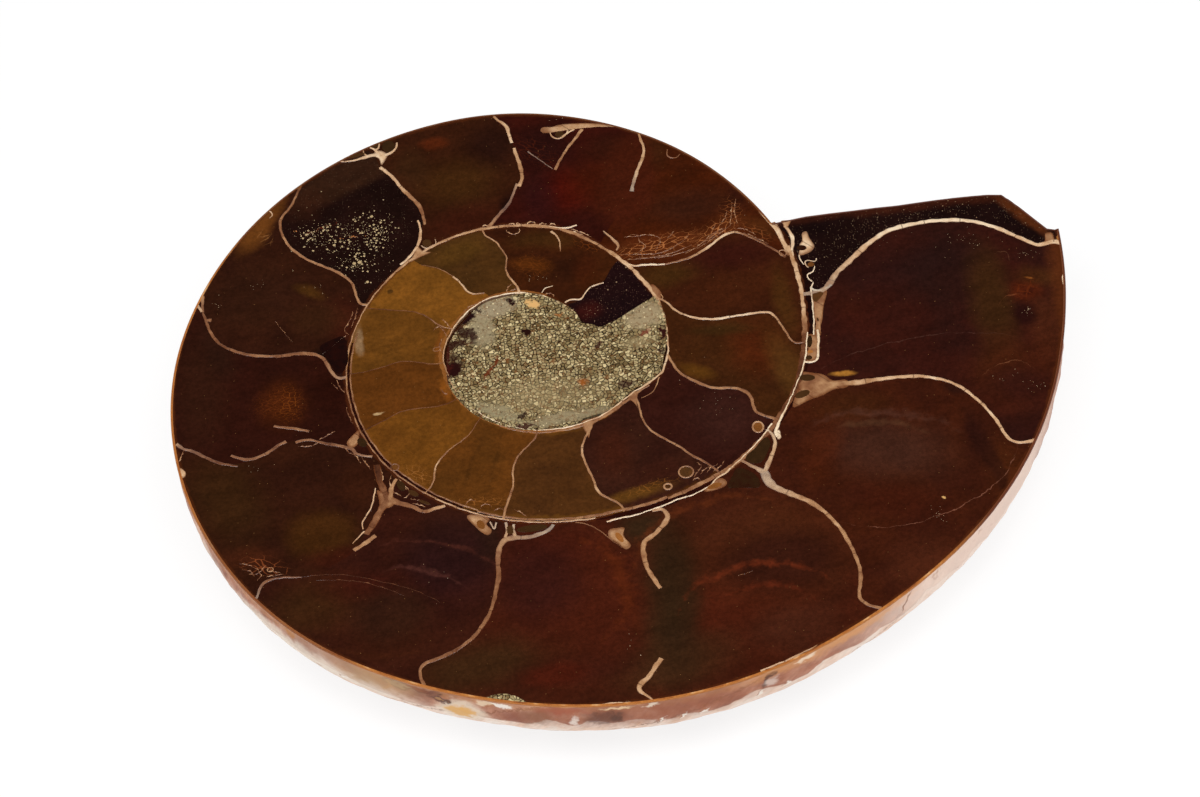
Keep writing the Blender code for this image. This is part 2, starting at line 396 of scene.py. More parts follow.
def offLine(tree, value, level):
    # How far a value lies from a level, either way
    gap = addNode(tree, "Math", (value, level), operation="SUBTRACT")
    return addNode(tree, "Math", (gap,), operation="ABSOLUTE")


def insideOf(tree, vector, x, y, long, wide, turn):
    # A place and its distance from a point, in shares of an ellipse's half length and half width;
    # the point and both halves come in tenths of a mm
    sockets = {"Vector": vector, "Location": (x / 10, y / 10, 0.0)}
    sockets["Rotation"] = (0.0, 0.0, math.radians(turn))
    sockets["Scale"] = (long / 10, wide / 10, 1000.0)
    inside = addNode(tree, "Mapping", sockets, vector_type="TEXTURE")
    return inside, addNode(tree, "VectorMath", (inside,), "Value", operation="LENGTH")


def stain(tree, colour, vector, spot):
    # A soft stain: (x, y, half length, half width, turn, colour, strength, softness, else 70)
    *place, tint, strength, softness = (*spot, 70)[:8]
    reach = insideOf(tree, vector, *place)[1]
    return layOver(tree, colour, tint, reach, 1.0 + softness / 100, 1.0 - softness / 100, strength / 100)


def growthArc(tree, colour, vector, ragged, arc):
    # Part of an ellipse's line, broken by a ragged cloud and fading away from the side it faces:
    # (x, y, half length, half width, turn, colour, strength, line width, side it faces)
    *place, tint, strength, line, facing = arc
    inside, reach = insideOf(tree, vector, *place)
    width = line / min(place[2:4])
    off = addNode(tree, "Math", (ragged, 2.4 * width, offLine(tree, reach, 1.0)), operation="MULTIPLY_ADD")
    side = math.radians(facing - place[4])
    way = (math.cos(side), math.sin(side), 0.0)
    faced = addNode(tree, "VectorMath", (inside, way), "Value", operation="DOT_PRODUCT")
    off = addNode(tree, "Math", (faced, -1.6 * width, off), operation="MULTIPLY_ADD")
    return layOver(tree, colour, tint, off, 0.6 * width, -0.6 * width, strength / 100)


def crackleWeb(tree, colour, vector, web):
    # A patch of crackle: the net between random cells drawn out one way, its lines thinning
    # outwards: (x, y, half length, half width, turn, colour, strength, cells per mm)
    *place, tint, strength, scale = web
    sockets = {"Vector": vector, "Rotation": (0.0, 0.0, math.radians(place[4])), "Scale": (2.0, 0.9, 1.0)}
    sockets = {"Vector": addNode(tree, "Mapping", sockets, vector_type="TEXTURE"), "Scale": scale}
    net = addNode(tree, "TexVoronoi", sockets, voronoi_dimensions="2D", feature="DISTANCE_TO_EDGE")
    line = (insideOf(tree, vector, *place)[1], 0.1, net)
    line = addNode(tree, "Math", line, operation="MULTIPLY_ADD")
    return layOver(tree, colour, tint, line, 0.13, 0.06, strength / 100)


def specksAt(tree, vector, spacing, share, size):
    # Round specks: in a share of the cells of a random net, a dot of up to the given size
    sockets = {"Vector": vector, "Scale": 1.0 / spacing}
    net = addNode(tree, "TexVoronoi", sockets, voronoi_dimensions="2D")
    red = addNode(tree, "SeparateColor", (net.node.outputs["Color"],), "Red")
    chosen = addNode(tree, "Math", (red, share), operation="LESS_THAN")
    size = (red.node.outputs["Green"], size / spacing)
    dot = (net, addNode(tree, "Math", size, operation="MULTIPLY"))
    dot = addNode(tree, "Math", dot, operation="LESS_THAN")
    return addNode(tree, "Math", (chosen, dot), operation="MULTIPLY")


def tonedBy(tree, noise, amount, stops):
    # The piece's own tone, clouded by an amount of noise, read off the stops
    tone = addNode(tree, "Attribute", {}, "Fac", attribute_name="tone")
    tone = addNode(tree, "Math", (noise, amount, tone), operation="MULTIPLY_ADD")
    tone = addNode(tree, "Math", (tone, 0.5 * amount), operation="SUBTRACT")
    return stopsOn(addNode(tree, "ValToRGB", (tone,)), stops)


def chamberCalcite(name, look):
    # Chamber filling, calcite sawn and polished: deep, clouded browns under a clear gloss,
    # with soft stains, growth arcs, crackle, fine grain, and pale specks, small crystals whose glints are
    # painted in as highlights
    made, tree, shader = newStone(name, look.get("roughness", 0.12))
    plan = coilPlan(tree)
    bent, = bentPlaces(tree, plan, 0.22, 6.0, 0.62, 2.2)
    clouds = cloud(tree, bent, 0.17, detail=4.0)
    ground, tint = look["stone"]
    colour = layOver(tree, linear(ground), tint, clouds, 0.32, 0.68)
    for spot in look.get("spots", ()):
        colour = stain(tree, colour, bent, spot)
    ragged = cloud(tree, plan, 0.8)
    for arc in look.get("arcs", ()):
        colour = growthArc(tree, colour, bent, ragged, arc)
    for web in look.get("webs", ()):
        colour = crackleWeb(tree, colour, bent, web)
    veil = cloud(tree, bent, 0.5, 5.0, 0.6, stretch=(2.2, 1.0, 1.0), turn=look.get("veilTurn", 10.0))
    colour = shadeBy(tree, colour, veil, 0.3, 0.7, 0.86, 1.14)
    colour = shadeBy(tree, colour, cloud(tree, plan, 2.2, roughness=0.7), 0.25, 0.75, 0.78, 1.22)
    inward = addNode(tree, "Attribute", {}, "Fac", attribute_name="inward")
    tint, width = look.get("margin", ("52260f", 0.4))
    away = addNode(tree, "Math", (ragged, -2.0 * width, inward), operation="MULTIPLY_ADD")
    colour = layOver(tree, colour, tint, away, 0.35 * width, -0.45 * width, 0.6)
    # Pale specks: small crystals, their glints painted in as highlights.
    for *specks, tint in look.get("specks", ((0.9, 0.12, 0.05, "8a6238"),)):
        colour = layOver(tree, colour, tint, specksAt(tree, plan, *specks), strength=0.8)
    dressed(tree, shader, colour, cloud(tree, plan, 0.9, detail=4.0), 0.05, 0.0002)
    return made


def aragonite(name):
    # Septa and walls, once mother-of-pearl, sawn across: cream to rust by the bar's tone,
    # darker along both edges, with fine lamination, cross cracks, and a grey-blue cast at some roots
    made, tree, shader = newStone(name, 0.25, ior=1.6)
    strip = addNode(tree, "UVMap", {}, uv_map="strip")
    plan = coilPlan(tree)
    patchy = cloud(tree, plan, 0.55, detail=4.0, roughness=0.65)
    stops = ((0, "35180e"), (0.22, "643a24"), (0.42, "8e5f40"), (0.6, "b5875f"), (0.8, "d9b189"))
    colour = tonedBy(tree, patchy, 0.8, stops + ((1, "f6ddbb"),))
    sheets = cloud(tree, strip, 2.0, stretch=(4.0, 0.35, 1.0))
    colour = layOver(tree, colour, "8a5830", sheets, 0.5, 0.75, 0.4)
    along = addNode(tree, "SeparateXYZ", (strip,), "X")
    across = addNode(tree, "Math", (along.node.outputs["Y"],), operation="ABSOLUTE")
    colour = layOver(tree, colour, "6a3616", across, 0.6, 1.0, 0.75)
    sockets = {"W": along, "Scale": 0.2}
    joints = addNode(tree, "TexVoronoi", sockets, voronoi_dimensions="1D", feature="DISTANCE_TO_EDGE")
    colour = layOver(tree, colour, "4a2412", joints, 0.02, 0.008, 0.6)
    root = addNode(tree, "Attribute", {}, "Fac", attribute_name="root")
    colour = layOver(tree, colour, "7d8a8c", root, strength=0.75)
    dressed(tree, shader, colour, cloud(tree, plan, 5.0, detail=2.0), 0.15, 0.0001)
    return made


def cellCalcite(name):
    # Small closed cells and gaps: even calcite from black through olive brown to amber by the
    # piece's tone, under the same gloss as the chambers; the gaps' near-black is painted shade
    made, tree, shader = newStone(name, 0.12)
    stops = ((0, "120807"), (0.16, "2c0d07"), (0.3, "33200f"), (0.55, "4c3018"), (0.8, "7c4a20"))
    mottle = cloud(tree, coilPlan(tree), 1.2, detail=4.0)
    colour = tonedBy(tree, mottle, 0.2, stops + ((1, "a86a34"),))
    tree.links.new(colour, shader.inputs["Base Color"])
    return made


# Stains in the core: (x, y, half length, half width, turn, colour, strength, softness), in
# tenths of a mm, degrees and percent; first the smooth mud, which the grain's shading still
# crosses, then voids, rust and a pale grain
coreMud = (
    (-52, 64, 28, 14, 20, "a39274", 90, 40), (-68, 30, 15, 26, 0, "9c8c6c", 90, 40),
    (128, 30, 26, 17, 25, "a4906e", 95, 35), (118, -10, 18, 9, 10, "9c8862", 70, 50),
    (24, -116, 54, 9, 8, "988868", 85, 40), (-54, -99, 30, 9, -32, "988c6c", 80, 40),
    (0, -80, 60, 24, 0, "b09a70", 35, 70),
)
coreSpots = (
    (-4, 67, 9, 5.5, -15, "e0b070", 100, 25), (-87, 51, 7, 16, -38, "200808", 100, 30),
    (-82, 26, 5, 13, 25, "2a0c0a", 90, 40), (-96, 13, 11, 5, 20, "2e100a", 90, 40),
    (-108, 10, 6, 7, 0, "30120a", 90, 40), (-93, 34, 5, 15, 12, "2c100a", 90, 40),
    (-104, -6, 5, 6, 0, "2c0e08", 80, 40), (-105, -26, 8, 13, 0, "260806", 100, 30),
    (-98, -16, 5, 6, 0, "2c0e08", 80, 40), (-112, -12, 3.4, 34, 0, "3e100a", 95, 40),
    (-13, 22, 7, 5.5, 0, "260c06", 100, 30), (72, -8, 4.2, 7, -20, "381410", 90, 40),
    (148, 2, 4, 9, 0, "33100c", 100, 30), (-31, 72, 3, 3.2, 0, "2a120c", 100, 30),
    (-70, 64, 2.2, 3.2, 0, "2a120c", 90, 30), (99, -72, 10, 6, 10, "331612", 80, 50),
    (-28, -108, 5, 2.6, 10, "2c140e", 90, 30), (-26, -123, 12, 2.8, -8, "3a1410", 90, 40),
    (145, -26, 5, 3, -40, "2c120e", 90, 30), (35, 23, 3.5, 3, 0, "3c2814", 90, 40),
    (-55, -21, 2.2, 10, -14, "6a2c12", 90, 40), (-63, -36, 2.4, 9, -38, "6a2c12", 90, 40),
    (49, -64, 6, 4.2, 20, "9a5420", 85, 50), (126, 5, 7, 3, 20, "844030", 70, 50),
    (26, 44, 3, 3, 0, "9a5a24", 80, 40),
)


def coreMatrix(name):
    # Core of the coil: calcite and pyrite sand, sawn and polished. Grains of 0.3 to 0.6 mm in
    # grey-green and straw, dark between them, with smooth grey-green mud along parts of the edge
    made, tree, shader = newStone(name, 0.25)
    plan = coilPlan(tree)
    bent, shaken = bentPlaces(tree, plan, 0.9, 6.0, 0.65, 2.6, 0.7)
    sockets = {"Vector": shaken, "Scale": 2.1}
    net = addNode(tree, "TexVoronoi", sockets, "Color", voronoi_dimensions="2D")
    pick = addNode(tree, "ValToRGB", (addNode(tree, "SeparateColor", (net,), "Red"),))
    stops = ((0.0, "685434"), (0.25, "8c7850"), (0.6, "a69268"), (0.86, "bca87a"), (1.0, "e6d09c"))
    gaps = addNode(tree, "TexVoronoi", sockets, voronoi_dimensions="2D", feature="DISTANCE_TO_EDGE")
    fine = cloud(tree, plan, 2.0, detail=5.0, roughness=0.75)
    between = addNode(tree, "Math", (fine, -0.5, gaps), operation="MULTIPLY_ADD")
    colour = layOver(tree, stopsOn(pick, stops), "201006", between, -0.075, -0.195, 0.95)
    for spot in coreMud:
        colour = stain(tree, colour, bent, spot)
    colour = layOver(tree, colour, "2c1a0c", fine, 0.56, 0.68, 0.8)
    web = offLine(tree, cloud(tree, plan, 0.7, detail=5.0), 0.5)
    colour = layOver(tree, colour, "7a4a24", web, 0.016, 0.004, 0.6)
    rust = cloud(tree, plan, 0.9, detail=4.0, roughness=0.65)
    colour = layOver(tree, colour, "7a4218", rust, 0.6, 0.7, 0.6)
    # Small pale specks on the grains are painted highlights.
    colour = layOver(tree, colour, "f0dcac", specksAt(tree, plan, 0.4, 0.22, 0.11), strength=0.9)
    for spot in coreSpots:
        colour = stain(tree, colour, bent, spot)
    dressed(tree, shader, colour, gaps, 0.1, 0.0001)
    return made


# Stains on the rim, by (degrees, tenths of a mm down from the cut), then as in the core
rimSpots = (
    # The pale patches at -34, -129 and -150 degrees are painted light: the brightening that the glowing
    # table below gives the rim's ends.
    (-34, 16, 190, 50, 0, "fae0cf", 80, 40), (-57, 6, 80, 9, 0, "e09c5c", 70),
    (-129, 38, 130, 20, 0, "f2e2d0", 75, 40), (-150, 34, 60, 16, 0, "ecd4c0", 60, 40),
    (-82, 20, 130, 24, 0, "9a5638", 70), (-86, 24, 26, 12, 0, "522408", 70, 50),
    (-84.6, 26, 8, 9, 0, "3e1a06", 50, 50), (-91.5, 9, 34, 8, 0, "a84e30", 70, 60),
    (-94.5, 24, 22, 15, 0, "8a5a3c", 60), (-97.5, 26, 20, 12, 0, "8a4a34", 60),
    (-100.7, 8, 9, 4.5, 0, "ecd0b0", 80, 40), (-103.8, 32, 26, 22, 0, "f0dcc4", 80, 30),
    (-103.9, 33, 17, 12, 0, "e6ac5c", 95, 30), (-106.6, 15, 11, 6, 0, "4e2008", 90, 30),
    (-106.6, 15, 6, 3, 0, "b88450", 80, 30), (-109.6, 13, 16, 14, 0, "7c4a34", 70),
    (-112, 9, 15, 8, 0, "5a3012", 85, 30), (-112, 9, 12, 5, 0, "a88a68", 90, 30),
    (-108.4, 8, 13, 3.5, -10, "6a2c10", 80, 50), (-110.3, 6, 12, 3, 0, "8a4418", 85, 40),
    (-113.8, 17, 2, 13, 20, "c88a4a", 70, 50), (-61.6, 8, 8, 3, 0, "f6dcc0", 85, 40),
    (-84.6, 5, 18, 3, 0, "eccaa0", 85, 40), (-98.6, 7, 14, 4, 0, "fbf0e4", 90, 30),
    (-116, 16, 36, 15, 0, "c0986c", 70), (-125, 12, 40, 12, 0, "a8826e", 60),
    (-129, 5, 9, 9, 30, "b8783a", 80, 40), (-66.4, 17, 2.5, 13, 25, "5a2a12", 90, 40),
    (-47, 16, 1.6, 16, 35, "8a5230", 80, 40), (-65.8, 22, 6, 6, 0, "f2e0d2", 55, 70),
    (-89.7, 30, 5, 9, 0, "f6e8dc", 75, 50), (-80.4, 7, 10, 3, 0, "f2dcc4", 85, 40),
)
rimNicks = (-64.0, -67.2, -74.2, -76.7, -79.3, -120.5)   # degrees
lipSpots = (
    (620, -80, 240, 360, 0, "5c2810", 95, 20), (50, 420, 600, 300, 0, "54260f", 85, 30),
    (-350, -350, 140, 140, 0, "7a4222", 75, 30),
)
shellLayers = ("chip", "rib", "lip")


def naturalShell(name):
    # The shell's own surface: mother-of-pearl in chipped sheets, mauve above and whitish where
    # the outer sheet is gone, with slanting growth lines and cracks; tan to red-brown over the
    # flank, worn pale on the ribs; an orange-brown sawn lip
    made, tree, shader = newStone(name, 0.5, ior=1.53)
    shader.inputs["Specular IOR Level"].default_value = 0.25   # weathered, so it shines little
    plan = coilPlan(tree)
    strip = addNode(tree, "UVMap", {}, uv_map="strip")
    chip, rib, lip = [addNode(tree, "Attribute", {}, "Fac", attribute_name=label) for label in shellLayers]
    down = addNode(tree, "SeparateXYZ", (strip,), "Y")
    sheets = cloud(tree, strip, 0.22, 5.0, 0.62)
    worn = cloud(tree, plan, 0.25, 5.0, 0.6)
    stained = cloud(tree, strip, 0.35, 4.0, 0.6)
    looks = [stopsOn(addNode(tree, "ValToRGB", (share,)), stops) for share, stops in (
        (sheets, ((0.3, "84482e"), (0.46, "ac6c50"), (0.6, "cc9478"), (0.74, "ecc6ae"))),
        (sheets, ((0.35, "e4b494"), (0.5, "f6d8c4"), (0.7, "fff0e2"))),
        (worn, ((0.3, "4c2416"), (0.5, "84523a"), (0.7, "a87c60"))),
        (stained, ((0.3, "4a200e"), (0.42, "9a5420"), (0.54, "bc7634"), (0.68, "e0b07a"))))]
    pearl, bare, flank, lips = looks
    ragged = cloud(tree, strip, 1.6)
    chip = addNode(tree, "Math", (ragged, 0.7, chip), operation="MULTIPLY_ADD")
    colour = layOver(tree, pearl, bare, chip, 0.3, 0.5)
    lines = cloud(tree, strip, 1.1, roughness=0.6, stretch=(0.6, 3.0, 1.0), turn=32.0)
    colour = shadeBy(tree, colour, lines, 0.3, 0.7, 0.9, 1.08)
    colour = layOver(tree, colour, "b07a52", offLine(tree, chip, 0.4), 0.12, 0.02, 0.45)
    sockets = {"Vector": strip, "Rotation": (0.0, 0.0, math.radians(72.0))}
    turned = addNode(tree, "Mapping", sockets, vector_type="TEXTURE")
    across = (ragged, 2.0, addNode(tree, "SeparateXYZ", (turned,), "X"))
    sockets = {"W": addNode(tree, "Math", across, operation="MULTIPLY_ADD"), "Scale": 0.11}
    cracks = addNode(tree, "TexVoronoi", sockets, voronoi_dimensions="1D", feature="DISTANCE_TO_EDGE")
    colour = layOver(tree, colour, "8a5634", cracks, 0.022, 0.01, 0.7)
    colour = layOver(tree, colour, flank, down, 6.0, 9.5)
    colour = layOver(tree, colour, "d8bba2", rib, strength=0.42)
    under = addNode(tree, "Math", (ragged, 2.0, down), operation="MULTIPLY_ADD")
    colour = layOver(tree, colour, "cc9054", under, 2.7, 1.6, 0.35)
    bent, = bentPlaces(tree, strip, 0.8, 5.0, 0.6, 2.4)
    # Each nick is painted as a pale lit side with a brown shaded side beside it: painted highlight and
    # painted shade.
    nicks = [(degrees, 40, 2, 7.5, 28, "fff2e4", 90, 40) for degrees in rimNicks]
    nicks += [(degrees - 0.35, 39, 1.3, 7, 28, "a86438", 70, 50) for degrees in rimNicks]
    for degrees, *spot in rimSpots + tuple(nicks):
        around = 10.0 * float(edgeRadius(degrees)) / coil["growth"]
        colour = stain(tree, colour, bent, (around, *spot))
    colour = layOver(tree, colour, "a8663a", stained, 0.6, 0.72, 0.5)
    for spot in lipSpots:
        lips = stain(tree, lips, plan, spot)
    colour = layOver(tree, colour, lips, lip, 0.2, 0.8)
    dressed(tree, shader, colour, lines, 0.3, 0.0003)
    return made


# The shell from outside, on the CAD model's own formulas, with a finer net
shell = {
    "halfThickness": 13.3,     # mm, saw cut to the crest at the last whorl's end
    "thickening": 1.9,
    "crest": 0.42,             # radius share where the umbilicus begins
    "seam": 0.446,             # radius share where the next whorl's wall stands on this one
    "edgeWall": 0.056,         # upright band below the cut, as a share of the radius
    "shoulder": 0.20,
    "shoulderDepth": 0.67,
    "ribsPerTurn": 25,
    "ribHeight": 0.4,          # mm
    "ribSweep": 9.0,           # degrees
    "breakLine": (
        (1.000, 9.4), (0.980, 9.6), (0.953, 12.6), (0.921, 16.4), (0.820, 18.5),
        (0.728, 20.4), (0.639, 23.0), (0.502, 28.2),
    ),
    "breakFoot": 0.5145,       # radius share where the break's top edge meets the whorl inside
    "seamLean": 2.4,           # degrees
    "bendDegrees": 28.8,       # how far from the broken end the rows begin to bend
    "innerTurns": 1.7,
    "rowsPerTurn": 720,
    "columns": (12, 20, 18, 16),   # upright, shoulder, flank, umbilical wall
    "lip": 0.12,               # mm of bevel at the sawn edge
    "cutEdge": 0.3,            # mm of shell that shows in the cut, inside the lip
    "bed": 0.6,                # mm from the polished face down to the bed of the chambers
}
seamAtEnd = shell["breakLine"][-1][1] + shell["seamLean"]


def halfThickness(radius):
    # A whorl's depth at its crest:
    # halfThickness * tanh(thickening * radius / venterRadius) / tanh(thickening)
    grown = np.tanh(shell["thickening"] * radius / coil["venterRadius"]) / math.tanh(shell["thickening"])
    return shell["halfThickness"] * grown


def flankDepth(degrees, share):
    # Upright edge, then a quarter-round shoulder, then a parabola up to the crest
    radius = edgeRadius(degrees)
    thickness = halfThickness(radius)
    upright = shell["edgeWall"] * radius
    inward = np.clip((1.0 - share) / (1.0 - shell["crest"]), 0.0, 1.0)
    onEdge = np.clip(1.0 - inward / shell["shoulder"], 0.0, 1.0)
    shoulder = (shell["shoulderDepth"] * thickness - upright) * np.sqrt(1.0 - onEdge ** 2)
    rise = (1.0 - shell["shoulderDepth"]) * thickness * (1.0 - (1.0 - inward) ** 2)
    return upright + shoulder + rise


def ribWave(degrees, share):
    # (0.5 + 0.5 cos(ribs * (angle - sweep * outward^2)))^1.5, fading to nothing at the rim and the crest
    outward = (share - shell["crest"]) / (1.0 - shell["crest"])
    wave = 0.5 + 0.5 * np.cos(shell["ribsPerTurn"] * np.radians(degrees - shell["ribSweep"] * outward ** 2))
    return np.clip((1.0 - outward) * 8.0, 0.0, 1.0) * np.clip(outward * 3.0, 0.0, 1.0) * wave ** 1.5


def brokenLine(share):
    # Angle of the old break at a share of the radius: the CAD model's line with its corners
    # rounded by averaging, and chipped back a little where it nears the outer edge
    table = np.array(sorted(shell["breakLine"] + ((shell["seam"], seamAtEnd),)))
    near = np.linspace(-0.012, 0.012, 9)
    degrees = np.mean([np.interp(share + offset, table[:, 0], table[:, 1]) for offset in near], axis=0)
    ragged = smoothStep((share - 0.52) / 0.03) * smoothStep((0.998 - share) / 0.01)
    chipped = 0.04 + 0.26 * smoothStep((share - 0.91) / 0.02)
    return degrees - ragged * chipped * (1.0 + wander(share, (0.07, 0.031, 0.019, 0.012), 40))


def flankGrid(seams, along):
    # The last whorl's flank: rows from the sawn edge to the seam line, leaning more and more
    # until the last one lies along the broken end
    uprights, shoulders, flanks, _ = shell["columns"]
    crest, seam = shell["crest"], shell["seam"]
    arc = np.radians(np.linspace(0.0, 90.0, shoulders + 1))
    onShoulder = 1.0 - (1.0 - crest) * shell["shoulder"] * (1.0 - np.cos(arc))
    onFlank = np.linspace(onShoulder[-1], shell["breakLine"][-1][0], flanks)[1:]
    share = np.concatenate([np.ones(uprights), onShoulder[1:], onFlank, [seam]])
    drop = np.concatenate([np.linspace(0.0, 1.0, uprights), np.ones(len(share) - uprights)])
    outward = (share - seam) / (1.0 - seam)
    table = np.array(sorted(shell["breakLine"] + ((seam, seamAtEnd),)))
    lastLean = seamAtEnd - shell["breakLine"][0][1]
    bend = seamAtEnd - np.interp(share, table[:, 0], table[:, 1]) - lastLean * outward
    nearEnd = smoothStep(1.0 - (seamAtEnd - seams) / shell["bendDegrees"])[:, None]
    lean = shell["seamLean"] + (lastLean - shell["seamLean"]) * along[:, None]
    degrees = seams[:, None] - lean * outward - nearEnd * bend
    share = np.broadcast_to(share, degrees.shape)
    rib = ribWave(degrees, share)
    whole = flankDepth(degrees, share)
    upright = shell["edgeWall"] * edgeRadius(degrees)
    depth = np.where(share == 1.0, shell["lip"] + (upright - shell["lip"]) * drop, whole)
    return degrees, share, depth + shell["ribHeight"] * rib, rib


def wallGrid(seams):
    # From the seam line over the crest and down the umbilical wall: a quarter ellipse from the
    # crest to the foot, which is the seam line of the whorl inside
    columns = shell["columns"][3]
    crest, seam = shell["crest"], shell["seam"]
    degrees = seams[:, None]
    radius = edgeRadius(degrees)
    ledge = np.linspace(seam, crest, 4)
    ledgeShare = np.broadcast_to(ledge, (len(seams), 4))
    ribs = ribWave(degrees, ledgeShare)
    ledgeDepth = flankDepth(degrees, ledgeShare) + shell["ribHeight"] * ribs
    footRadius = edgeRadius(degrees - 360.0) * seam
    grown = smoothStep(np.arange(len(seams)) / (0.3 * shell["rowsPerTurn"]))[:, None]
    crestDepth = halfThickness(radius)
    footDepth = crestDepth + (flankDepth(degrees - 360.0, seam) - crestDepth) * grown
    arc = np.radians(np.linspace(0.0, 90.0, columns - 2)[1:])
    wallRadiusHere = footRadius + (radius * crest - footRadius) * (1.0 - np.sin(arc))
    wallDepth = footDepth + (crestDepth - footDepth) * np.cos(arc)
    reach = np.concatenate([radius * ledgeShare, wallRadiusHere], axis=1)
    depth = np.concatenate([ledgeDepth, wallDepth], axis=1)
    return np.broadcast_to(degrees, reach.shape), reach, depth


def lengthAcross(reach, depth):
    # Running length of every row of a net of sections, from 0
    steps = [np.diff(values, axis=1, prepend=values[:, :1]) for values in (reach, depth)]
    return np.cumsum(np.hypot(*steps), axis=1)


def inset(loop, distance):
    # A closed loop moved inwards by a distance
    ring = np.concatenate([loop[-1:], loop, loop[:1]])
    return loop + leftOf(ring)[1:-1] * distance


def buildShell():
    # Flank, umbilical walls, hub, broken end and the bed under the chambers, as one closed body
    perTurn = shell["rowsPerTurn"]
    rows = np.arange(-round(shell["innerTurns"] * perTurn), perTurn + 1)
    seams = seamAtEnd + (rows - perTurn) * 360.0 / perTurn
    face = coil["faceHeight"]
    openRows = rows >= 0

    wallDegrees, wallReach, wallDepth = wallGrid(seams)
    wallDown = 35.0 + lengthAcross(wallReach, wallDepth)
    degrees, share, depth, rib = flankGrid(seams[openRows], rows[openRows] / perTurn)
    reach = edgeRadius(degrees) * share - skin
    down = lengthAcross(reach, depth)
    # Growth lines: shallow waves that slant back down the rim, and the scalloped line
    # below which the outer sheet of shell has chipped away
    along = edgeRadius(degrees) / coil["growth"]
    lines = along - 0.9 * down
    swing = 0.5 + 0.5 * np.sin(2.0 * math.pi * lines / 2.3 + 2.0 * wander(lines, (31.0, 17.0, 9.0), 3))
    rimBand = smoothStep(down / 0.5) * smoothStep((14.0 - down) / 8.0)
    reach = reach - 0.05 * swing * rimBand - 0.06 * rimBand * (1.0 + wander(lines, (5.1, 7.9, 3.7), 5))
    scallops = np.abs(np.sin(math.pi * lines / 9.0 + 1.5 * wander(lines, (41.0, 23.0, 13.0), 11)))
    chip = down - 2.9 - 0.8 * scallops - 0.8 * wander(along, (37.0, 19.0, 11.0, 6.0), 14)
    reach = reach - 0.12 * smoothStep(chip / 0.3) * rimBand

    wallIds = np.full(wallReach.shape, -1)
    wallColumns = wallReach.shape[1]
    count = len(rows) * (wallColumns - 1)
    wallIds[:, :-1] = np.arange(count).reshape(len(rows), -1)
    wallIds[:perTurn, -1] = count + np.arange(perTurn)
    count += perTurn
    wallIds[perTurn:, -1] = wallIds[:-perTurn, 0]
    flankIds = np.empty(reach.shape, int)
    flankIds[:, :-1] = count + np.arange(reach[:, :-1].size).reshape(len(reach), -1)
    count += reach[:, :-1].size
    flankIds[:, -1] = wallIds[len(rows) - perTurn - 1:, 0]

    points, strip = np.zeros((count, 3)), np.zeros((count, 2))
    lip, ribs, chips = np.zeros(count), np.zeros(count), np.zeros(count)
    points[wallIds] = toFrame(polar(wallDegrees, wallReach), face - np.minimum(wallDepth, face))
    strip[wallIds] = np.stack([edgeRadius(wallDegrees) / coil["growth"], wallDown], axis=-1)
    keep = flankIds[:, :-1]
    points[keep] = toFrame(polar(degrees, reach), face - np.minimum(depth, face))[:, :-1]
    strip[keep] = np.stack([along, down], axis=-1)[:, :-1]
    lip[keep] = (1.0 - smoothStep(down / 0.3))[:, :-1]
    ribs[keep] = rib[:, :-1]
    chips[keep] = np.clip(chip, -2.0, 2.0)[:, :-1]

    def more(newPoints, newLip=0.0, newDown=0.0):
        # Adds points to the body and says what their numbers are
        nonlocal count, points, strip, lip, ribs, chips
        size = len(newPoints)
        points = np.concatenate([points, newPoints])
        newStrip = np.stack([newPoints[:, 0] * 1000.0, np.full(size, newDown)], axis=-1)
        strip = np.concatenate([strip, newStrip])
        lip = np.concatenate([lip, np.full(size, newLip)])
        ribs = np.concatenate([ribs, np.zeros(size)])
        chips = np.concatenate([chips, np.full(size, -2.0)])
        count += size
        return np.arange(count - size, count)

    # The broken end: its top edge runs in along the break line to the whorl inside
    topShare = 1.0 - (1.0 - shell["breakFoot"]) * np.linspace(0.0, 1.0, wallColumns)[1:-1] ** 1.5
    topDegrees = brokenLine(topShare)
    topPlan = polar(topDegrees, edgeRadius(topDegrees) * topShare - skin)
    topIds = more(toFrame(topPlan, face - shell["lip"]), 1.0)
    upper = np.concatenate([flankIds[-1:, 0], topIds, flankIds[0]])
    lower = np.concatenate([flankIds[-1], wallIds[-1, 1:]])
    shares = np.linspace(0.0, 1.0, 15)[1:-1, None]
    chains = [points[upper], points[lower]]
    steps = [np.append(0.0, np.cumsum(np.linalg.norm(np.diff(chain, axis=0), axis=1))) for chain in chains]
    steps = [step / step[-1] for step in steps]
    at = steps[0] * (1.0 - shares) + steps[1] * shares
    between = 0.0
    for chain, step, part in zip(chains, steps, (1.0 - shares, shares)):
        read = np.stack([np.interp(at, step, chain[:, axis]) for axis in range(3)], axis=-1)
        between = between + read * part[..., None]
    rough = wander(at * 55.0 + 9.0 * shares, (2.1, 3.3, 7.0, 12.0), 8)
    rough = rough + wander(9.0 * shares - at * 23.0, (1.7, 4.1), 9)
    between[..., 1] -= 0.00022 * (1.0 + rough)
    endIds = [upper]
    for row in between:
        endIds.append(np.concatenate([upper[:1], more(row[1:-1]), upper[-1:]]))
    endIds = np.array(endIds + [lower])

    # The innermost whorl closes over the coil's axis
    hole = np.concatenate([wallIds[:perTurn, -1], wallIds[0, :-1]])
    hubHeight = points[hole, 2].mean()
    hub = np.array([*toFrame(np.zeros((1, 2)), 0.0)[0, :2], hubHeight])
    rim = points[hole] - hub
    hubIds = np.array([hole] + [more(hub + rim * part, 0.0, 60.0) for part in (0.7, 0.4, 0.15)])
    hubIds = np.concatenate([hubIds, hubIds[:, :1]], axis=1)
    hubPole = more(hub[None], 0.0, 60.0)[0]

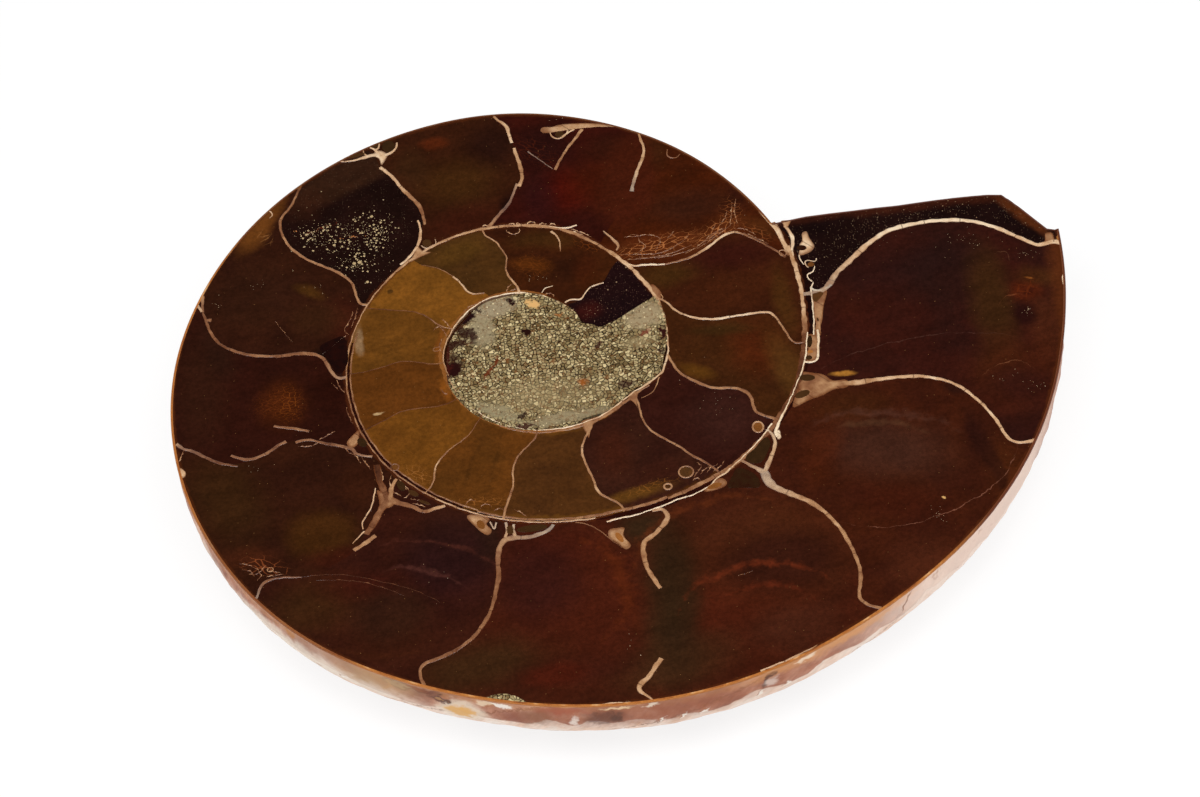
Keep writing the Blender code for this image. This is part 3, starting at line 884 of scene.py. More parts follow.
    # The sawn edge: a bevel, the shell's own thickness, then down to the bed of the chambers
    outline = np.concatenate([flankIds[:, 0], topIds])
    plan = points[outline, :2] * 1000.0 - (axisX, axisY)
    loops = [outline]
    cutEdge, bed = shell["cutEdge"], shell["bed"]
    for inwards, height, lipHere in ((0.10, 0.0, 1.0), (cutEdge, 0.0, 0.6), (cutEdge, bed, 0.0)):
        loops.append(more(toFrame(inset(plan, inwards), face - height), lipHere))
    for part in (0.68, 0.36):
        loops.append(more(toFrame(plan * part, face - bed)))
    loops = np.array(loops)
    loops = np.concatenate([loops, loops[:, :1]], axis=1)
    bedPole = more(toFrame(np.zeros((1, 2)), face - bed))[0]

    corner = len(flankIds) - 1
    parts = [quadsOf(wallIds) + quadsOf(flankIds), quadsOf(endIds), quadsOf(hubIds)]
    parts += [quadsOf(loops[:3, :corner + 1]), quadsOf(loops[:3, corner:]), quadsOf(loops[2:])]
    parts[2] += fanOf(hubIds[-1], hubPole)
    parts[5] += fanOf(loops[-1], bedPole)
    faces = []
    surfaces = []
    for part, surface in zip(parts, (0, 1, 0, 0, 1, 2)):
        kept = [list(dict.fromkeys(face)) for face in part]
        kept = [face for face in kept if len(face) > 2]
        faces += kept
        surfaces += [surface] * len(kept)
    layers = {"lip": lip, "rib": ribs, "chip": chips}
    materials = [naturalShell("natural_shell_nacre"), chamberCalcite("broken_calcite", brokenLook)]
    materials.append(chamberCalcite("chamber_bed", bedLook))
    return makePiece("natural_side", points, faces, materials, surfaces, strip, layers)


brokenLook = {
    "stone": ("4e2010", "6e3616"), "roughness": 0.5, "margin": ("54240f", 0.3),
    "specks": ((0.7, 0.3, 0.1, "8c6a48"),),
}
# The bed is near black so that hairline gaps between the pieces on the face show as dark seams: painted
# shade.
bedLook = {"stone": ("150806", "1e0d08")}

wholeShell = buildShell()
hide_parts("ammonite_half")
print("shell done:", len(wholeShell.data.polygons), "faces")


# Septa on the cut face, from the aperture inwards: points in tenths of a mm, x and y in
# turn, from the inner wall to the outer wall. Each is also the border between two chambers.
septumLines = {
    "septum_01": (345, 43, 363, 65, 384, 87, 437, 129, 463, 135, 553, 124, 581, 105, 603, 88, 614, 82,
        625, 85, 639, 86),
    "septum_02": (311, -91, 340, -98, 375, -104, 422, -103, 480, -118, 521, -170, 530, -191, 541, -215,
        568, -218),
    "septum_03": (250, -224, 260, -243, 287, -266, 342, -368, 343, -397, 340, -423, 360, -439),
    "septum_05": (-57, -270, -66, -297, -68, -333, -73, -361, -120, -439, -149, -452, -164, -462, -167, -471,
        -163, -488),
    "septum_06": (-189, -200, -202, -228, -221, -263, -236, -286, -270, -306, -299, -315, -322, -314,
        -336, -318, -348, -343),
    "septum_07": (-207, -145, -230, -137, -268, -121, -308, -112, -332, -126, -374, -138, -399, -130,
        -424, -112, -434, -110),
    "septum_08": (-236, -20, -241, -22, -247, -18, -261, 12, -270, 19, -283, 22, -298, 23, -313, 22,
        -330, 24, -345, 27, -360, 33, -373, 40, -392, 62, -401, 90, -404, 105, -406, 130),
    "septum_09": (-204, 90, -211, 92, -216, 102, -223, 130, -234, 143, -281, 178, -306, 228, -305, 242,
        -297, 255, -288, 286, -283, 299),
    "septum_10": (-147, 157, -137, 181, -135, 197, -129, 221, -156, 274, -167, 295, -178, 313, -183, 327),
    "septum_11": (-47, 199, -38, 210, -27, 224, -18, 243, -2, 279, -4, 296, -12, 331, -19, 356, -28, 369,
        -33, 381),
    "septum_13": (108, 195, 129, 235, 133, 252, 140, 269, 146, 286, 150, 301, 146, 327),
    "septum_14": (109, 120, 118, 111, 132, 109, 186, 114, 215, 131, 238, 148, 251, 150, 272, 136, 296, 116,
        310, 104),
    "septum_15": (146, 57, 155, 50, 163, 39, 206, 15, 226, 15, 267, 18, 279, 16, 285, 8, 296, -19, 304, -34),
    "septum_16": (151, -34, 169, -70, 183, -81, 199, -91, 234, -99, 243, -109, 249, -136, 260, -143),
    "septum_17": (107, -86, 112, -117, 118, -141, 152, -175, 164, -188, 180, -202),
    "septum_18": (52, -127, 45, -148, 39, -169, 49, -213, 55, -234, 78, -255),
    "septum_19": (-13, -139, -23, -152, -38, -170, -44, -191, -45, -209, -56, -244),
    "septum_20": (-84, -114, -91, -126, -111, -143, -135, -176, -139, -196),
    "border_21": (-112, -76, -141, -80, -171, -83, -196, -96),
    "border_22": (-124, -14, -164, -5, -180, -8, -215, -16),
    "border_23": (-108, 40, -118, 46, -134, 63, -176, 78, -204, 84),
    "septum_24": (-61, 91, -77, 91, -87, 107, -98, 121, -112, 135, -136, 146),
    "septum_25": (-20, 92, -29, 111, -33, 127, -31, 144, -36, 157, -42, 171, -55, 184),
    "septum_26": (35, 62, 57, 69, 61, 76, 72, 83, 83, 90, 92, 106, 103, 122),
    "core_notch": (42, 54, 46, 48, 57, 29, 75, 19, 84, 22, 106, 24, 119, 32, 143, 60),
}

# What fills each chamber, named by the septum on its younger side.
# stone is its two main colours; spots are soft stains in tenths of a mm about the coil's axis,
# degrees and percent:
# (x, y, half length, half width, turn, colour, strength, softness); arcs are growth lines and
# webs are crackle, as growthArc and crackleWeb read them; specks are (spacing, share, size,
# colour), veilTurn is the way the veils lie, margin is the skin's colour and width at the walls.
chamberLooks = {
    "aperture": {"stone": ("1e0d0a", "180a09"), "veilTurn": 5,
        "spots": ((460, 166, 180, 9, 1.5, "3e1a0e", 80), (600, 132, 44, 8, -52, "5c2c12", 85)),
        "specks": ((0.34, 0.4, 0.045, "7c6048"), (0.8, 0.25, 0.07, "a08464"))},
    "septum_01": {"stone": ("36140d", "2c120d"), "veilTurn": 20,
        "spots": ((495, 56, 50, 56, 0, "26130f", 70), (546, 4, 24, 76, 2, "3c220e", 90, 60),
        (606, -50, 22, 56, 0, "472010", 80, 60), (587, 12, 19, 18, -30, "4c1c0b", 90, 50),
        (592, 8, 7, 5, 40, "2e0f08", 70, 40), (546, -96, 26, 34, 0, "3e200e", 80),
        (606, 34, 26, 14, -15, "48260f", 70), (634, 0, 13, 130, 0, "5c2c12", 75),
        (560, -115, 60, 50, 30, "451b0b", 70), (356, -91, 14, 3.5, 0, "a8702c", 90, 50),
        (405, -10, 40, 60, 0, "3a150c", 50), (365, 30, 20, 30, 30, "3e180c", 50),
        (594, 33, 5, 1.4, -20, "8e5020", 70, 60), (583, -25, 14, 16, 0, "240c0a", 80, 50),
        (440, 65, 80, 24, 18, "241210", 45), (564, -130, 34, 24, -20, "2e120e", 65)),
        "webs": ((588, 14, 18, 22, -30, "5e260e", 70, 0.9),),
        "arcs": ((554, -134, 37, 38, -10, "8a5638", 60, 0.7, 90),
        (572, -25, 23, 33, 0, "7a4428", 60, 0.8, 100), (554, 60, 22, 14, 20, "7a5238", 45, 0.7, 40),
        (440, -120, 160, 74, 8, "5a3a30", 50, 1, 95))},
    "septum_02": {"stone": ("401a0b", "38160b"), "spots": ((395, -208, 70, 40, -15, "43261b", 65),
        (400, -290, 50, 24, -20, "3e160a", 60), (505, -220, 16, 50, 10, "2a100b", 60),
        (535, -265, 24, 50, 15, "46200c", 70), (360, -140, 40, 20, 0, "41200c", 60),
        (420, -385, 40, 35, 0, "4e2414", 60), (484, -129, 14, 7, -30, "1e0e0a", 60),
        (320, -200, 20, 40, -20, "501f0a", 50), (451, -289, 1.6, 2.6, 20, "d8a868", 90, 30),
        (510, -230, 10, 65, 14, "240e0a", 50, 40)),
        "arcs": ((400, -195, 150, 128, 8, "96604a", 70, 0.8, -62),
        (390, -210, 105, 56, -10, "543226", 50, 9, 80), (390, -205, 70, 36, -10, "583824", 45, 7, 80))},
    "septum_03": {"stone": ("41190c", "3a180c"), "spots": ((210, -305, 70, 34, -5, "472012", 70),
        (140, -330, 26, 60, 0, "34180a", 60), (200, -410, 80, 40, 10, "4c1c0d", 70),
        (120, -490, 60, 30, 15, "3e2412", 80), (115, -410, 26, 80, 0, "352010", 80),
        (20, -370, 60, 80, 10, "451a0d", 80), (-10, -305, 45, 24, 0, "3a130a", 70),
        (-95, -465, 80, 30, 8, "38210f", 85), (10, -485, 60, 18, 0, "38160d", 70),
        (68, -365, 8, 60, 12, "5a240c", 50), (260, -450, 40, 30, 10, "482214", 60),
        (100, -290, 26, 20, 0, "2e2212", 70), (255, -336, 90, 66, 0, "48210e", 70, 60),
        (255, -356, 66, 44, 0, "2d120b", 75, 50), (130, -386, 28, 95, 0, "2c1c0e", 75, 50),
        (16, -379, 80, 96, 0, "44190c", 65, 35), (-26, -354, 46, 52, 0, "30130f", 70, 60),
        (-15, -489, 35, 16, 5, "4a180b", 70, 50)), "arcs": ((225, -435, 100, 75, 5, "6a2a14", 60, 8, 95),
        (225, -435, 65, 44, 5, "662814", 55, 6, 80), (205, -360, 120, 100, 0, "5e2a12", 55, 10, 120),
        (-20, -380, 95, 90, 20, "5a240e", 60, 14, 10))},
    "septum_05": {"stone": ("38170d", "30130c"), "spots": ((-105, -255, 50, 35, 0, "37190d", 70),
        (-120, -325, 45, 40, 0, "2e1312", 75), (-285, -360, 50, 36, 0, "3a200d", 80),
        (-225, -340, 50, 20, -5, "3c140b", 60), (-200, -415, 70, 40, -20, "3a190c", 70),
        (-80, -290, 14, 30, 0, "2c1c10", 60), (-123, -294, 52, 48, 0, "26110f", 70, 50),
        (-197, -380, 44, 38, 0, "2c180e", 60, 50)), "arcs": ((-170, -355, 65, 36, -12, "562e26", 55, 5, 70),
        (-160, -340, 95, 60, -14, "52281e", 50, 5, 60), (-220, -385, 90, 50, -16, "46200f", 40, 8, -100))},
    "septum_06": {"stone": ("33170b", "2c130a"), "webs": ((-340, -294, 34, 16, -18, "8a4826", 75, 1.2),),
        "spots": ((-380, -190, 40, 60, 20, "371f0c", 80), (-273, -256, 40, 34, 0, "42240b", 85, 40),
        (-355, -280, 30, 14, -10, "48200f", 60), (-250, -292, 40, 14, 0, "3a140a", 70),
        (-280, -170, 60, 30, 0, "30150b", 60), (-225, -190, 20, 30, 0, "3a1a0c", 60))},
    "septum_07": {"stone": ("30120a", "2b1009"), "webs": ((-304, -54, 22, 34, 10, "7c3e12", 65, 2.2),
        (-324, -52, 30, 28, 0, "5c2a0e", 60, 2.2)), "spots": ((-410, -20, 28, 80, 0, "32180d", 70),
        (-312, -54, 26, 32, 0, "481e08", 75), (-255, -40, 20, 40, 0, "280d06", 70),
        (-385, 40, 18, 40, 10, "2a160d", 60))},
    "septum_08": {"stone": ("33170b", "2c130a"), "webs": ((-326, 214, 10, 14, 30, "8a5a30", 80, 1.2),),
        "spots": ((-330, 240, 18, 50, -28, "6a3c16", 85, 40), (-340, 120, 60, 50, 20, "341a0e", 60),
        (-273, 120, 18, 8, -35, "52320f", 60), (-235, 65, 16, 35, 0, "42180c", 60),
        (-246, 24, 22, 12, 30, "100907", 90), (-265, 75, 30, 22, 0, "3c200f", 60),
        (-350, 55, 30, 16, -30, "36180c", 50))},
    "septum_09": {"stone": ("1a0b08", "200e0a"), "veilTurn": 0,
        "webs": ((-256, 220, 30, 3, 16, "6a2c18", 80, 1.8),),
        "spots": ((-220, 303, 80, 26, 28, "331c10", 90, 30), (-275, 260, 26, 20, 40, "361a0e", 60)),
        "specks": ((0.3, 0.4, 0.045, "5e4a38"),)},
    "septum_10": {"stone": ("38190b", "311609"), "spots": ((-85, 275, 45, 34, 0, "40240c", 80),
        (-35, 335, 30, 35, 0, "230f0a", 70), (-80, 210, 50, 22, 20, "3a150a", 70),
        (-110, 344, 16, 9, 0, "5c240c", 60), (-140, 305, 20, 30, 10, "38200e", 60),
        (-26, 230, 8, 18, -20, "150706", 80))},
    "septum_11": {"stone": ("371009", "300f09"), "webs": ((6, 320, 34, 26, -30, "4e1e0e", 60, 1.6),
        (30, 296, 22, 20, -30, "4e1c0e", 60, 1.8)), "spots": ((25, 320, 34, 30, 0, "260e0b", 80),
        (48, 246, 26, 30, 0, "4a0f06", 80), (95, 255, 35, 40, 0, "451606", 70),
        (15, 235, 20, 35, 0, "2f0f0e", 70), (110, 310, 30, 20, 0, "36160a", 60),
        (126, 250, 36, 76, -12, "42180a", 100, 35))},
    "septum_13": {"stone": ("451a07", "3c1707"), "webs": ((154, 139, 62, 19, 12, "b06c3c", 90, 1.5),
        (226, 154, 36, 15, 30, "b06c3c", 85, 1.5), (248, 184, 16, 30, 0, "8a4c26", 70, 1.6),
        (276, 146, 26, 10, -40, "8a4c26", 70, 1.6)), "spots": ((162, 295, 14, 24, 0, "36210e", 50),
        (200, 200, 60, 26, 0, "361a0f", 60), (126, 250, 36, 76, -12, "42180a", 100, 35),
        (260, 216, 12, 20, 0, "2e120b", 60), (165, 138, 65, 19, 4, "5c2a10", 80),
        (235, 156, 26, 15, 35, "5c2a10", 70), (284, 153, 26, 14, -30, "4f280f", 70))},
    "septum_14": {"stone": ("401c0b", "38180a"), "spots": ((162, 94, 34, 18, 10, "45290e", 80),
        (240, 115, 50, 24, 0, "36120c", 80), (235, 50, 60, 22, 0, "441e0c", 60),
        (299, 30, 12, 50, 5, "4c2c0f", 70))},
    "septum_15": {"stone": ("42220c", "3b1d0b"), "spots": ((165, 0, 16, 34, 0, "3c1c0b", 60),
        (260, -35, 34, 40, 10, "4e1f0a", 80), (294, -80, 16, 60, 15, "523213", 80),
        (182, -64, 20, 9, -30, "5c380f", 70), (220, -3, 34, 8, 0, "3a260e", 60))},
    "septum_16": {"stone": ("35160f", "2f120c"), "spots": ((210, -140, 40, 40, 0, "3b1e17", 70),
        (150, -100, 20, 24, 0, "2f120b", 60))},
    "septum_17": {"stone": ("381b11", "32160e"), "margin": ("5e340e", 0.6),
        "webs": ((110, -234, 46, 9, 18, "84501f", 80, 2),), "spots": ((75, -175, 20, 34, 0, "401a0d", 70),
        (94, -242, 40, 9, 14, "6a4416", 70), (125, -210, 30, 14, 20, "3c1a0f", 60))},
    "septum_18": {"stone": ("502e12", "472810"), "margin": ("6e4416", 0.8)},
    "septum_19": {"stone": ("5f3510", "54300f"), "margin": ("6a431a", 0.7),
        "webs": ((-80, -230, 46, 10, -14, "8a5424", 80, 2),),
        "spots": ((-90, -170, 3, 40, -20, "43260c", 40), (-65, -180, 2.5, 40, -15, "43260c", 35))},
    "septum_20": {"stone": ("6d4113", "643a11"), "veilTurn": 40, "margin": ("7a4a1a", 0.8),
        "webs": ((-156, -182, 26, 16, -42, "8e5a2a", 80, 2),)},
    "border_21": {"stone": ("613510", "58300e"), "margin": ("6e431a", 0.6),
        "spots": ((-118, -56, 5, 19, 10, "8a4e18", 75, 50), (-196, -81, 5, 2, 0, "c8a878", 70, 40))},
    "border_22": {"stone": ("6a4014", "603a12"), "margin": ("70461a", 0.6),
        "spots": ((-217, 35, 6, 24, 5, "9a7a58", 70, 40), (-121, -32, 6, 22, 5, "8c4e18", 80, 50),
        (-120, 16, 5, 24, -8, "824818", 75, 50))},
    "border_23": {"stone": ("7c4c18", "704515"), "veilTurn": 30,
        "spots": ((-177, 110, 4, 3, 0, "3c260e", 80, 30),)},
    "septum_24": {"stone": ("4c2e11", "452a10"), "spots": ((-90, 160, 30, 14, 20, "5c3c14", 60),)},
    "septum_25": {"stone": ("3e1c09", "341609"), "webs": ((-2, 124, 28, 22, -20, "703812", 60, 2.2),
        (66, 152, 24, 10, -35, "7a3c14", 60, 2)), "spots": ((-2, 126, 22, 11, -20, "562a0a", 80),
        (15, 168, 36, 12, -5, "42280e", 60), (40, 115, 20, 20, 0, "2e1408", 60),
        (65, 110, 14, 24, 0, "441a08", 50))},
    "septum_26": {"stone": ("1e0c0c", "190a0b"), "spots": ((60, 46, 16, 12, 20, "3c120c", 60),),
        "specks": ((0.26, 0.5, 0.05, "6e5040"), (1.1, 0.3, 0.1, "a08264"))},
}


def polarAngle(point, below):
    # Polar angle of a point in degrees, on the turn that puts it just below another angle
    angle = math.degrees(math.atan2(point[1], point[0]))
    return below - (below - angle + 40.0) % 360.0 + 40.0


faceDetails = {
    "top": 12.56,              # mm, level of the chambers, a little below the harder septa
    "step": 0.55,              # mm between the points of a chamber's net
    "edgeInset": 0.27,         # mm of the shell's own thickness outside the last whorl's chambers
}


def ownLine(points, angles):
    # A septum with its two ends drawn on to the walls
    line = np.reshape(points, (-1, 2)) * 0.1
    inner = polar(angles[0], wallRadius(angles[0] - 360.0))
    edgeInset = faceDetails["edgeInset"] if angles[1] > -334.0 else 0.0
    outer = polar(angles[1], wallRadius(angles[1]) - edgeInset)
    reach = np.hypot(*line.T)
    kept = line[(reach > np.hypot(*inner) + 0.3) & (reach < np.hypot(*outer) - 0.3)]
    return smoothPath(np.concatenate([inner[None], kept, outer[None]]), 0.3)


def breakEdge():
    # The sawn face's edge along the old break, from the whorl inside out to the shell's edge
    share = np.linspace(0.502, 0.9955, 90)
    degrees = brokenLine(share)
    edge = polar(degrees, edgeRadius(degrees) * share)
    return edge - leftOf(edge) * faceDetails["edgeInset"], (degrees[0], degrees[-1])


def buildChambers():
    # Each chamber is the patch between two septa and two walls: the blend across between the
    # septa, plus the blend along between the walls, less the blend of the four corners
    lines = {}
    step = faceDetails["step"]
    younger, youngerAngles = breakEdge()
    youngerName = "aperture"
    for older, points in septumLines.items():
        angles = (polarAngle(points[:2], youngerAngles[0]), polarAngle(points[-2:], youngerAngles[1]))
        line = lines[older] = ownLine(points, angles)
        apart = np.linalg.norm(younger[30 % len(younger)] - line[len(line) // 2])
        across = max(8, int(apart / step) + 2)
        upward = max(10, int(lengthAlong(line)[-1] / step) + 1)
        near, far = evenSteps(line, count=upward), evenSteps(younger, count=upward)
        innerDegrees, outerDegrees = np.linspace(angles, youngerAngles, across).T
        inner = polar(innerDegrees, wallRadius(innerDegrees - 360.0))
        lastOnes = smoothStep((outerDegrees + 334.0) / 4.0 + 0.5)
        outer = polar(outerDegrees, wallRadius(outerDegrees) - faceDetails["edgeInset"] * lastOnes)
        inner[0], inner[-1], outer[0], outer[-1] = near[0], far[0], near[-1], far[-1]
        u = np.linspace(0.0, 1.0, across)[:, None, None]
        v = np.linspace(0.0, 1.0, upward)[None, :, None]
        corners = (1 - u) * (1 - v) * near[0] + u * (1 - v) * far[0]
        corners = corners + (1 - u) * v * near[-1] + u * v * far[-1]
        plan = (1 - u) * near + u * far + (1 - v) * inner[:, None] + v * outer[:, None] - corners
        fromWall = np.minimum(np.arange(upward), np.arange(upward)[::-1]) * step
        inward = np.broadcast_to(fromWall, (across, upward))
        stone = chamberCalcite("calcite_" + youngerName, chamberLooks[youngerName])
        slabPiece("chamber_" + youngerName, plan, faceDetails["top"], stone, inward)
        younger, youngerAngles, youngerName = line, angles, older
    return lines


septa = buildChambers()
print("chambers done")


